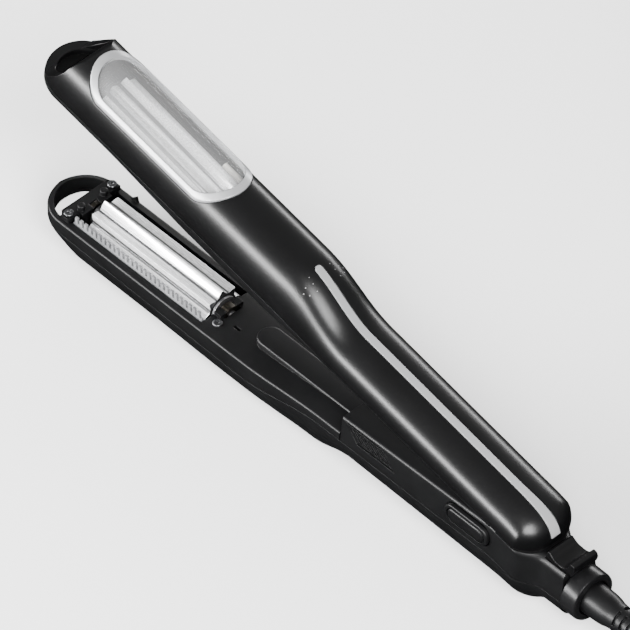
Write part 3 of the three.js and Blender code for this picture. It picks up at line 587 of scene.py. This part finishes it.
def whole_belly(inset, start, end=None):
    """Both bodies as one; only what lies below the seam of it is used."""
    rings = []
    for x in belly_stations(start, end):
        top = cover_top(x) if x >= STEP_X else housing_top(x)
        rings.append(lower_ring(x, top, inset, 0, ease(x, -18, -31, 1.2, 4), 0))
    return skin(rings)


def beside_seam(side):
    line = [(x, seam(x) + side * GAP / 2) for x in span(-60, 300, 2)]
    far = 60 if side > 0 else -20
    return side_plate(line + [(300, far), (-60, far)], -40, 40)


def loop_hole(z0, z1):
    reach = math.acos((LOOP_REAR - TIP_CENTRE) / LOOP_R)
    outline = []
    for i in range(49):
        a = -reach + 2 * reach * i / 48
        outline.append((TIP_CENTRE + LOOP_R * math.cos(a), LOOP_R * math.sin(a)))
    return plate(outline, z0, z1)


# ---------------------------------------------------------------- lower arm
def lower_outer_shell():
    shell = common(whole_belly(0, REAR_X), beside_seam(-1))
    shell = cut(shell, whole_belly(WALL, REAR_X + WALL, CAVITY_FRONT), loop_hole(-5, 30),
                rod("X", REAR_X - 5, REAR_X + 5, NECK_BORE_R, 0, CORD_Z))
    return cut(shell, *[rod("Z", -5, keel(x) + 5, BOTTOM_BORE_R, x, y) for x, y in BOTTOM_SCREWS])


def rib_outline(half, rear):
    def at(inset):
        r = half - inset
        arc = [math.radians(-90 + 180 * i / 24) for i in range(25)]
        return [(rear, -r)] + [(RIB_CENTRE + r * math.cos(a), r * math.sin(a)) for a in arc] + [(rear, r)]
    return at


def guide_fin():
    x = 231.5
    outline = [(x, RIM_Z - 1), (x + 5, RIM_Z - 1), (x + 1.2, RIM_Z + 2.6)]
    return side_plate(outline, 0.4 - LOWER_HALF, 1.6 - LOWER_HALF)


def lower_inner_cover():
    shell = common(front_body(0, STEP_X + GAP), beside_seam(1))
    shell = cut(shell, front_body(WALL, STEP_X - 1, CAVITY_FRONT))
    rib = domed(rib_outline(RIB_HALF, STEP_X + GAP), 20, RIB_Z, 1)
    rib = cut(rib, front_body(WALL, STEP_X - 1, CAVITY_FRONT))
    shell = join(shell, rib, guide_fin(), box(*BEARING, -6.2, 6.2, 16, BEARING_Z))
    tunnel = plate(rib_outline(RIB_HALF - WALL, STEP_X - WALL)(0), 0, RIB_Z - WALL)
    screws = [rod("Z", 0, 40, SCREW_BORE_R, x, y) for x, y in (COVER_SCREW, *TIP_SCREWS)]
    return cut(shell, tunnel, box(BEARING[1] + 0.2, 242.4, -12.4, 11, 5, 40),
               box(242, 243.6, -7.4, 7.4, 5, 40), box(164.6, 242.4, 10, 12.7, 5, 40), loop_hole(-5, 60),
               box(149.8, 153.4, 4.2, 5.6, 0, 40), rod("X", BEARING[0] - 1, 166, 4.9, 0, LOWER_AXLE[1]),
               rod("X", 70, 166, 1.5, 0, LOWER_AXLE[1]), *screws)


def lower_tip_cover():
    right = [(239.8, 8), (241.8, 8), (241.8, 14.3), (246, 14.3), (LOOP_REAR, 12.5)]
    outline = [(x, -y) for x, y in reversed(right)] + right
    lid = cut(plate(outline, RIM_Z - 2, TIP_COVER_Z), front_body(-GAP, 230))
    lid = join(lid, box(239.8, 243.2, -7, 7, 12, TIP_COVER_Z))
    for y in (6.2, -6.2):
        pad = disc_outline(TIP_COVER_FRONT, y, 1.7, 32)
        lid = join(lid, domed(pad, TIP_COVER_Z - 0.5, TIP_COVER_Z + 2.4, 0.5))
    return cut(lid, rod("X", 230, TIP_COVER_FRONT, 4.7, 0, LOWER_AXLE[1]),
               rod("X", 230, 250, 2, 0, LOWER_AXLE[1]),
               *[rod("Z", 0, 40, SCREW_BORE_R, x, y) for x, y in TIP_SCREWS])


def vent_opening():
    return side_plate([(77.2, 31.6), (55.8, 31.6), (48.5, 24.3), (70.6, 24.3)], 10, 30)


def rear_housing():
    shell = common(rear_body(0, REAR_X, STEP_X - GAP), beside_seam(1))
    hollow = cut(rear_body(WALL, REAR_X + WALL, STEP_X - GAP - WALL),
                 box(REAR_X, -24.6, -9.5, 9.5, SLIDER_BED_Z - WALL, 40))
    bed = SLIDER_HALF + GAP
    shell = cut(shell, rod("Y", -6.2, 6.2, 2.9, *HINGE), hollow, rod("X", 60, 90, 3.2, 0, LOWER_AXLE[1]),
                side_plate(button_outline(RING_SEAT), 5, 30),
                box(REAR_X - 5, -29.7, -bed, bed, SLIDER_BED_Z, 40),
                box(-40, -32.6, -2.3, 2.3, 25, 40), rod("X", REAR_X - 5, REAR_X + 5, NECK_BORE_R, 0, CORD_Z),
                vent_opening())
    for y in (7, -9.5):
        ear = join(box(HINGE[0] - 3.6, HINGE[0] + 3.6, y, y + 2.5, BLOCK_Z, HINGE[1]),
                   rod("Y", y, y + 2.5, 3.6, *HINGE))
        shell = join(shell, ear)
    return cut(shell, rod("Y", -20, 20, 1.8, *HINGE))


def button_outline(size, inset=0):
    return stadium(*BUTTON, size[0] - 2 * inset, size[1] - 2 * inset)


def button_ring():
    ring = domed(lambda inset: button_outline(RING_SIZE, inset), 14.6, 16.5, 0.7)
    return turn_to_side(cut(ring, plate(button_outline(RING_HOLE), 10, 30)))


def side_button():
    return turn_to_side(domed(lambda inset: button_outline(BUTTON_SIZE, inset), 12.9, 16.8, 1.2))


def lock_slider():
    base = SLIDER_BED_Z + GAP
    corners = [(-30.2, base), (-30.4, 33.8), (-31, 34.2), (-31.8, 34), (-34, 32.2), (-37, base + 1.3),
               (-39.6, base + 1.5), (-42, 33.6), (-43.2, 36), (-44.6, 36.2), (-45.6, 35.4), (-45.8, 33.4),
               (-44.6, base)]
    top = smooth_line(corners[1:-1], 6)
    body = side_plate([corners[0], *top, corners[-1]], -10, 10)
    section = ((-SLIDER_HALF, base), (SLIDER_HALF, base), (SLIDER_HALF - 0.7, 38), (0.7 - SLIDER_HALF, 38))
    waist = skin([[(x, y, z) for y, z in section] for x in (-50, -20)])
    return common(body, waist)


def smooth_line(points, steps):
    """A Catmull-Rom line through a list of points."""
    line = []
    padded = [points[0], *points, points[-1]]
    for a, b, c, d in zip(padded, padded[1:], padded[2:], padded[3:]):
        for i in range(steps):
            t = i / steps
            line.append(tuple(
                0.5 * (2 * q + (r - p) * t + (2 * p - 5 * q + 4 * r - s) * t**2
                       + (3 * q - p - 3 * r + s) * t**3)
                for p, q, r, s in zip(a, b, c, d)))
    return [*line, tuple(points[-1])]


def collar_ring():
    front = REAR_X - GAP
    profile = [(front, 0), (front, 10.6), (front - 0.4, 11), (front - 6.6, 11), (front - 7.6, 10.7),
               (front - 8, 10.1), (front - 8, 0)]
    return cut(lathe(profile, 0, CORD_Z), rod("X", front - 9, front + 1, 8, 0, CORD_Z, 64))


def strain_relief():
    """A smooth sleeve, then a tapered boot whose slots leave four spines whole."""
    sleeve = [(-37, 0), (-37, 7.9), (-39.8, 7.9), (-39.8, 7.2), (-57, 7), (-60, 6.7), (-62.6, 6.1)]
    taper = [(-64, 5.9), (-65, 5.9), (-84.6, 4.5), (-85.6, 4.1), (BOOT_END, 3.4), (BOOT_END, 0)]
    boot = lathe(sleeve + taper, 0, CORD_Z)
    for i in range(BOOT_SLOTS):
        x = BOOT_SLOT_FRONT - i * BOOT_SLOT_PITCH
        r = 5.8 - 0.25 * i
        slot = cut(rod("X", x - 1.5, x, r + 3, 0, CORD_Z),
                   rod("X", x - 2, x + 1, r - 1.1, 0, CORD_Z),
                   box(x - 2, x + 1, -0.9, 0.9, 0, 40),
                   box(x - 2, x + 1, -12, 12, CORD_Z - 0.9, CORD_Z + 0.9))
        boot = cut(boot, slot)
    return boot


def cross_screw(x, y, z):
    """A pan head with a cross recess, on a short shank."""
    head = domed(disc_outline(x, y, SCREW_HEAD_R, 40), z - 0.9, z, 0.45)
    head = cut(head, box(x - 1.1, x + 1.1, y - 0.25, y + 0.25, z - 0.5, z + 1),
               box(x - 0.25, x + 0.25, y - 1.1, y + 1.1, z - 0.5, z + 1))
    return join(head, rod("Z", z - 5, z - 0.6, 1, x, y, 16))


def fluted_roller(phase):
    """Star-section roller with fine ridges, softened at its ends."""
    parts = 20
    rings = []
    round_start = ROLLER_HALF - 0.25
    for x, inset in ((-ROLLER_HALF, 0.25), (-round_start, 0), (round_start, 0), (ROLLER_HALF, 0.25)):
        ring = []
        for i in range(LOBES * parts):
            t = (i % parts) / parts
            away = min(t, 1 - t) * 2
            rise = (1 - math.sin(min(1, math.sqrt(away**2 + 0.0009)) * math.pi / 2)) ** 0.8
            r = ROOT_R + (ROLLER_R - ROOT_R) * rise - inset
            a = 2 * math.pi * i / (LOBES * parts) + phase
            ring.append((x, r * math.sin(a), r * math.cos(a)))
        rings.append(ring)
    return cut(skin(rings), rod("X", -40, 40, BORE_R, 0, 0, 48))


def shade_roller(roller, place):
    """Black flanges on the ends, and painted shade: darker metal at the bottom of the grooves."""
    roller.data.materials.append(MATERIALS["dark_grey"])
    roller.data.materials.append(MATERIALS["groove_painted_shade"])
    to_axle = (TO_FRAME @ place).inverted()
    for face in roller.data.polygons:
        centre = to_axle @ face.center
        if abs(centre.x) > ROLLER_HALF - 0.01:
            face.material_index = 1
        # faces near the groove bottoms get the darker metal as painted shade
        elif math.hypot(centre.y, centre.z) < GROOVE_SHADE_R:
            face.material_index = 2


def roller_place(axle, tilt):
    return Matrix.Translation((axle[0], 0, axle[1])) @ Matrix.Rotation(-math.radians(tilt), 4, "Y")


# ---------------------------------------------------------------- upper arm
def rear_round(x, power):
    t = share(-x, -REAR_ROUND, -UPPER_REAR)
    return max(0, 1 - t**power) ** (1 / 2.2)


def upper_half(x):
    if x > UPPER_TIP:
        return math.sqrt(max(0, UPPER_HALF**2 - (x - UPPER_TIP) ** 2))
    if x < REAR_ROUND:
        return min(UPPER_GRIP_HALF, UPPER_GRIP_HALF * rear_round(x, 2.4) + 1.6)
    return ease(x, 85, 130, UPPER_GRIP_HALF, UPPER_HALF)


def crown_height(x):
    if x < REAR_ROUND:
        return 11.1 * rear_round(x, 2.6) + 2.2
    return ease(x, 84, 122, slope(x, 0, 84, 13.3, 14.1), 25)


def upper_seam(x):
    return ease(x, 88, 126, 1.3, 5)


def upper_ring(x, inset):
    half = max(upper_half(x) - inset, 0.8)
    high = max(crown_height(x) - inset, 0.8)
    ring = [(x, half, 0)]
    parts = 72
    for i in range(1, parts):
        a = math.pi * i / parts
        side = math.copysign(abs(math.cos(a)) ** (2 / CROWN_POWER), math.cos(a))
        ring.append((x, half * side, high * math.sin(a) ** (2 / CROWN_POWER)))
    ring.append((x, -half, 0))
    return ring


def rear_stations():
    """Sections of the rounded rear end, closer together where it turns."""
    return [UPPER_REAR + REAR_ROUND_LENGTH * (1 - math.cos(math.pi / 2 * i / 24)) for i in range(24)]


def upper_body(inset, start=UPPER_REAR, end=BODY_FRONT):
    between = [x for x in rear_stations() + span(REAR_ROUND, end, 2) if start < x < end]
    stations = [start, *between, end]
    return skin([upper_ring(x, inset) for x in stations])


def beside_upper_seam(side):
    line = [(x, upper_seam(x) + side * GAP / 2) for x in [-60, *span(86, 128, 2), 300]]
    far = 80 if side > 0 else -20
    return side_plate(line + [(300, far), (-60, far)], -40, 40)


def front_cut():
    sweep = [(243.6, 25.4), (247.4, 24.4), (250, 22.6), (251.8, 19.8), (HEAD_FRONT, 17.6),
             (254, 15.2), (256, 12.4), (258.4, 9.6), (261, 7), (264, 5)]
    return side_plate([(243.6, 40), *smooth_line(sweep, 5), (270, 5), (270, 40)], -40, 40)


def tip_pocket(start, z0, z1):
    disc = rod("Z", z0, z1, POCKET_R, UPPER_TIP, 0, 96)
    return cut(disc, box(200, start, -40, 40, z0 - 5, z1 + 5))


def window_plate(longer, wider):
    return plate(stadium(WINDOW_X, 0, WINDOW[0] + 2 * longer, WINDOW[1] + 2 * wider, 48), 8, 60)


def strip_plate(grow):
    nose = STRIP_FRONT - STRIP_HALF
    outline = [(-40, -STRIP_REAR_HALF - grow), (-6, -STRIP_HALF - grow)]
    for i in range(25):
        a = math.radians(-90 + 180 * i / 24)
        outline.append((nose + (STRIP_HALF + grow) * math.cos(a), (STRIP_HALF + grow) * math.sin(a)))
    outline += [(-6, STRIP_HALF + grow), (-40, STRIP_REAR_HALF + grow)]
    return plate(outline, STRIP_END_Z - grow, 60)


def upper_outer_shell():
    shell = cut(upper_body(0), upper_body(WALL, UPPER_REAR + WALL, HEAD_FRONT - HEAD_FRONT_WALL))
    shell = common(shell, beside_upper_seam(1))
    return cut(shell, front_cut(), tip_pocket(HEAD_FRONT, 0, 40), window_plate(GAP, GAP), strip_plate(GAP))


def upper_skin(outside, inside, start=UPPER_REAR):
    return cut(upper_body(outside), upper_body(inside, start))


def window_bezel():
    rim = common(upper_skin(-0.5, WALL), window_plate(0, 0))
    return cut(rim, window_plate(-BEZEL_END, -BEZEL_SIDE))


def window_lens():
    return common(upper_skin(0, WALL - 0.3), window_plate(-BEZEL_END - GAP, -BEZEL_SIDE - GAP))


def light_strip():
    return common(upper_skin(-0.2, WALL, UPPER_REAR + WALL), strip_plate(0))


def upper_outline(inset_at, start, end):
    last = min(end, UPPER_TIP)
    between = [x for x in rear_stations() + span(REAR_ROUND, UPPER_TIP, 2) if start < x < last]
    points = [(x, upper_half(x) - inset_at(x)) for x in [start, *between]]
    if end > UPPER_TIP:
        r = UPPER_HALF - inset_at(UPPER_TIP)
        for i in range(49):
            a = math.radians(90 - 90 * i / 48)
            points.append((UPPER_TIP + r * math.cos(a), r * math.sin(a)))
    else:
        points.append((end, upper_half(end) - inset_at(end)))
    return points + [(x, -y) for x, y in reversed(points) if y > 0.01]


def upper_inner_frame():
    low = upper_outline(lambda x: slope(x, 176, 240, 0.4, 2.4), UPPER_REAR, 300)
    full = upper_outline(lambda x: 0, UPPER_REAR, 300)
    prism = skin([[(x, y, z) for x, y in outline] for outline, z in ((low, 0), (full, 3), (full, 6))])
    body = common(prism, beside_upper_seam(-1))
    hinge = hinge_in_arm()
    body = cut(body, plate(upper_outline(lambda x: WALL, 100, HEAD_FRONT - 3), 1.8, 30),
               box(162.2, 239.8, -11.6, 11.6, -5, 30), tip_pocket(HEAD_FRONT, 1.5, 30),
               box(HEAD_FRONT, 260.5, -9, 9, -5, 30), box(-14.5, -0.8, -9.8, 9.8, -5, 30))
    for y in (9.9, -11.9):
        lug = join(box(hinge[0] - 3, hinge[0] + 3, y, y + 2, 0.1, hinge[1]), rod("Y", y, y + 2, 3.4, *hinge))
        body = join(body, common(lug, box(-60, 60, -30, 30, 0, 30)))
    return cut(body, rod("Y", -20, 20, 1.9, *hinge))


def hinge_in_arm():
    place = ARM.inverted() @ Vector((HINGE[0], 0, HINGE[1]))
    return place.x, place.z


def light_dots():
    """Six small lit dots on each side of the strip's front end."""
    spots = ((116.1, 5.6), (113.2, 5.9), (114.1, 8.9), (110.1, 6.3), (113.0, 10.6), (110.8, 9.3))
    verts = []
    faces = []
    for x, y in spots:
        for side in (1, -1):
            ratio = y / upper_half(x)
            z = crown_height(x) * (1 - ratio**CROWN_POWER) ** (1 / CROWN_POWER)
            first = len(verts)
            verts.append((x, side * y, z + 0.12))
            for dx, dy in disc_outline(0, 0, 0.42, 12)(0):
                verts.append((x + dx, side * (y + dy), z - 0.25))
            for i in range(12):
                faces.append((first, first + 1 + i, first + 1 + (i + 1) % 12))
            faces.append(tuple(first + 12 - i for i in range(12)))
    return mesh_object("part", verts, faces)


# ---------------------------------------------------------------- cord
def cord_route():
    """From the boot through a hank of eleven runs in four layers, to the plug on top."""
    points = [Vector((BOOT_END, 0, CORD_Z)), Vector((LEAD_START, 0, CORD_Z))]
    turn = math.acos(1 - OUTER_TURN / (2 * LEAD_BEND))
    for i in range(1, 21):
        t = i / 20
        angle = turn * min(1, 2 * t)
        x = LEAD_BEND * math.sin(angle)
        y = LEAD_BEND * (1 - math.cos(angle))
        if t > 0.5:
            back = turn * (2 * t - 1)
            x += LEAD_BEND * (math.sin(turn) - math.sin(turn - back))
            y += LEAD_BEND * (math.cos(turn - back) - math.cos(turn))
        points.append(Vector((LEAD_START - x, y, ease(t, 0, 1, CORD_Z, LAYERS[3]))))

    def run(side, y, levels):
        x0, x1 = (HANK_NEAR, HANK_FAR) if side > 0 else (HANK_FAR, HANK_NEAR)
        first, middle, last = (LAYERS[level] for level in levels)
        for i in range(1, 25):
            t = i / 24
            z = ease(t, 0, 0.5, first, middle)
            if t > 0.5:
                z = ease(t, 0.5, 1, middle, last)
            points.append(Vector((x0 + (x1 - x0) * t, side * y, z)))

    def bend(side, r, level, centre):
        x = HANK_FAR if side > 0 else HANK_NEAR
        for i in range(1, 25):
            a = math.radians(90 * side + 180 * i / 24)
            points.append(Vector((x + r * math.cos(a), centre + r * math.sin(a), LAYERS[level])))

    outer = OUTER_TURN
    inner = INNER_TURN
    runs = (
        (outer, (3, 3, 3)), (outer, (3, 3, 2)), (outer, (2, 2, 2)), (outer, (2, 1, 1)),
        (outer, (1, 1, 1)), (inner, (1, 1, 1)), (inner, (1, 1, 2)), (inner, (2, 2, 2)),
        (inner, (2, 3, 3)), (inner, (3, 3, 3)), (inner, (3, 4, 4)),
    )
    for i, (y, levels) in enumerate(runs):
        side = 1 if i % 2 == 0 else -1
        next_y = runs[min(i + 1, len(runs) - 1)][0]
        run(side, y, levels)
        bend(side, (y + next_y) / 2, levels[-1], side * (y - next_y) / 2)
    for i in range(1, 25):
        t = i / 24
        points.append(Vector((HANK_FAR + (PLUG_X - HANK_FAR) * t, ease(t, 0, 1, -inner, 0),
                              ease(t, 0, 1, LAYERS[4], PLUG_Z))))
    return points


def make_cord():
    line = bpy.data.curves.new("mains_cord", "CURVE")
    line.dimensions = "3D"
    line.bevel_depth = CORD_R * MM
    line.bevel_resolution = 5
    spline = line.splines.new("POLY")
    route = cord_route()
    spline.points.add(len(route) - 1)
    for point, place in zip(spline.points, route):
        point.co = (*(TO_FRAME @ place), 1)
    spline.use_smooth = True
    line.materials.append(MATERIALS["cord_black"])
    cord = bpy.data.objects.new("mains_cord", line)
    bpy.context.collection.objects.link(cord)
    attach(cord, "lower_arm")
    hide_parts("power_cord", "cord_hank", "cord_tail")
    return cord


def tie_ring(x, grow):
    """The strap's outline at one place along it, grown outwards."""
    r = TIE_CORNER + grow
    ring = []
    corners = ((TIE_HALF_Y, TIE_HIGH, 0), (-TIE_HALF_Y, TIE_HIGH, 90),
               (-TIE_HALF_Y, TIE_LOW, 180), (TIE_HALF_Y, TIE_LOW, 270))
    for y, z, first in corners:
        cy = y - math.copysign(TIE_CORNER, y)
        cz = z + (TIE_CORNER if z == TIE_LOW else -TIE_CORNER)
        for i in range(7):
            a = math.radians(first + 15 * i)
            ring.append((x, cy + r * math.cos(a), cz + r * math.sin(a)))
    return ring


def make_tie():
    """A strap round the hank, with rounded corners."""
    flat = TIE_HALF_X - 0.3
    section = ((-TIE_HALF_X, 0), (-TIE_HALF_X, 0.3), (-flat, TIE_BAND), (flat, TIE_BAND),
               (TIE_HALF_X, 0.3), (TIE_HALF_X, 0))
    rings = [tie_ring(TIE_X + dx, grow) for dx, grow in section]
    count = len(rings[0])
    faces = []
    for i in range(len(rings)):
        for j in range(count):
            a = i * count + j
            b = i * count + (j + 1) % count
            c = (i + 1) % len(rings) * count
            faces.append((a, b, c + (j + 1) % count, c + j))
    return mesh_object("part", [point for ring in rings for point in ring], faces)


def plug_body():
    rear = PLUG_X + PLUG_LENGTH
    side = [(PLUG_X, 4), (PLUG_X + 6, 5), (PLUG_X + 14, 10.6), (PLUG_X + 29.6, 12), (rear, 10.4)]
    right = smooth_line(side, 6)

    def outline(inset):
        trimmed = [(min(max(x, PLUG_X + inset), rear - inset), y - inset) for x, y in right]
        return [(x, -y) for x, y in reversed(trimmed)] + trimmed

    levels = []
    for i in range(7):
        a = math.pi / 2 * i / 6
        levels.append((PLUG_ROUND * (1 - math.cos(a)), PLUG_HALF_Z + PLUG_ROUND * math.sin(a)))
    below = [(inset, PLUG_Z - z) for inset, z in reversed(levels)]
    above = [(inset, PLUG_Z + z) for inset, z in levels]
    return skin([[(x, y, z) for x, y in outline(inset)] for inset, z in below + above])


cord = make_cord()
tie = finish(make_tie(), "hank_tie", "lower_arm", "matte_black", ["cord_tie"])
plug = finish(plug_body(), "mains_plug", "lower_arm", "cord_black", ["plug_body"])

# ---------------------------------------------------------------- pieces of the lower arm
finish(lower_outer_shell(), "belly_shell", "lower_arm", "matte_black", ["lower_outer_shell"])
finish(lower_inner_cover(), "jaw_cover", "lower_arm", "matte_black", ["lower_inner_cover"])
finish(rear_housing(), "grip_housing", "lower_arm", "matte_black", ["rear_housing"])
finish(lower_tip_cover(), "tip_lid", "lower_arm", "matte_black", ["lower_tip_cover"])
finish(button_ring(), "button_surround", "lower_arm", "matte_black", ["button_ring"])
finish(side_button(), "push_button", "button", "matte_black", ["side_button"])
finish(lock_slider(), "slide_lock", "slider", "gloss_black", ["lock_slider"])
finish(collar_ring(), "neck_collar", "lower_arm", "satin_black", ["collar_ring"])
finish(strain_relief(), "cord_boot", "boot", "matte_black", ["strain_relief"])
SCREWS = {
    "tip_screw_1": (*TIP_SCREWS[0], TIP_COVER_Z + 1.2),
    "tip_screw_2": (*TIP_SCREWS[1], TIP_COVER_Z + 1.2),
    "cover_screw": (*COVER_SCREW, RIM_Z + 1.6),
}
for node, (x, y, z) in SCREWS.items():
    finish(cross_screw(x, y, z), node + "_head", "lower_arm", "screw_steel", [node])
lower_axle = roller_place(LOWER_AXLE, 0)
lower_flutes = finish(fluted_roller(0), "lower_flutes", "lower_roller_set", "roller_silver", ["lower_roller"],
                      lower_axle, 50)
shade_roller(lower_flutes, lower_axle)

# ---------------------------------------------------------------- pieces of the upper arm
finish(upper_outer_shell(), "gloss_shell", "upper_arm", "gloss_black", ["upper_outer_shell"], ARM)
finish(upper_inner_frame(), "inner_tray", "upper_arm", "matte_black", ["upper_inner_frame"], ARM)
finish(window_bezel(), "bezel", "upper_arm", "bezel_silver", ["window_bezel"], ARM)
finish(window_lens(), "lens", "upper_arm", "clear_window", ["window_lens"], ARM)
finish(light_strip(), "light_bar", "upper_arm", "clear_strip", ["light_strip"], ARM)
finish(light_dots(), "light_dots", "upper_arm", "clear_strip", [], ARM)
upper_axle = roller_place(UPPER_AXLE, UPPER_AXLE_DEG)
upper_flutes = finish(fluted_roller(math.pi / LOBES), "upper_flutes", "upper_roller_set", "roller_silver",
                      ["upper_roller"], upper_axle, 50)
shade_roller(upper_flutes, upper_axle)

# ---------------------------------------------------------------- CAD nodes that stay
for part in frame["record"]["subparts"]:
    node = frame["nodes"][part["node"]]
    if node.hide_render:
        continue
    node.data.materials.clear()
    node.data.materials.append(MATERIALS[part["material_slot"]])
    add_bevel(node, 0.12)


# ---------------------------------------------------------------- studio
def soft_light(name, place, size, power):
    data = bpy.data.lights.new(name, "AREA")
    data.shape = "RECTANGLE"
    data.size, data.size_y = size
    data.energy = power
    light = bpy.data.objects.new(name, data)
    light.location = place
    light.rotation_euler = (Vector(place) - Vector(LIGHT_AIM)).to_track_quat("Z", "Y").to_euler()
    bpy.context.collection.objects.link(light)


def pale_floor():
    """Plain floor that leaves no reflection of itself in the gloss."""
    floor = box(-FLOOR_HALF, FLOOR_HALF, -FLOOR_HALF, FLOOR_HALF, -FLOOR_DEPTH, 0)
    floor.data.transform(Matrix.Scale(MM, 4))
    floor.name = "studio_floor"
    pale = Nodes("studio_paper", (0.9, 0.9, 0.9), 0.7)
    pale.vary_colour(pale.noise(3, 2), (0.9, 0.9, 0.9), (0.92, 0.92, 0.92))
    floor.data.materials.append(pale.material)
    floor.visible_glossy = False


def studio_sky():
    """White surroundings, dim at the horizon and brighter above."""
    world = bpy.data.worlds.new("studio")
    world.use_nodes = True
    nodes = world.node_tree.nodes
    links = world.node_tree.links
    around = nodes.new("ShaderNodeTexCoord").outputs["Generated"]
    height = nodes.new("ShaderNodeSeparateXYZ")
    sky = nodes.new("ShaderNodeMapRange")
    sky.inputs["From Min"].default_value, sky.inputs["From Max"].default_value = SKY_HEIGHTS
    sky.inputs["To Min"].default_value, sky.inputs["To Max"].default_value = SKY_STRENGTHS
    links.new(around, height.inputs["Vector"])
    links.new(height.outputs["Z"], sky.inputs["Value"])
    links.new(sky.outputs["Result"], nodes["Background"].inputs["Strength"])
    nodes["Background"].inputs["Color"].default_value = (1, 1, 1, 1)
    bpy.context.scene.world = world


pale_floor()
studio_sky()
for light in LIGHTS:
    soft_light(*light)
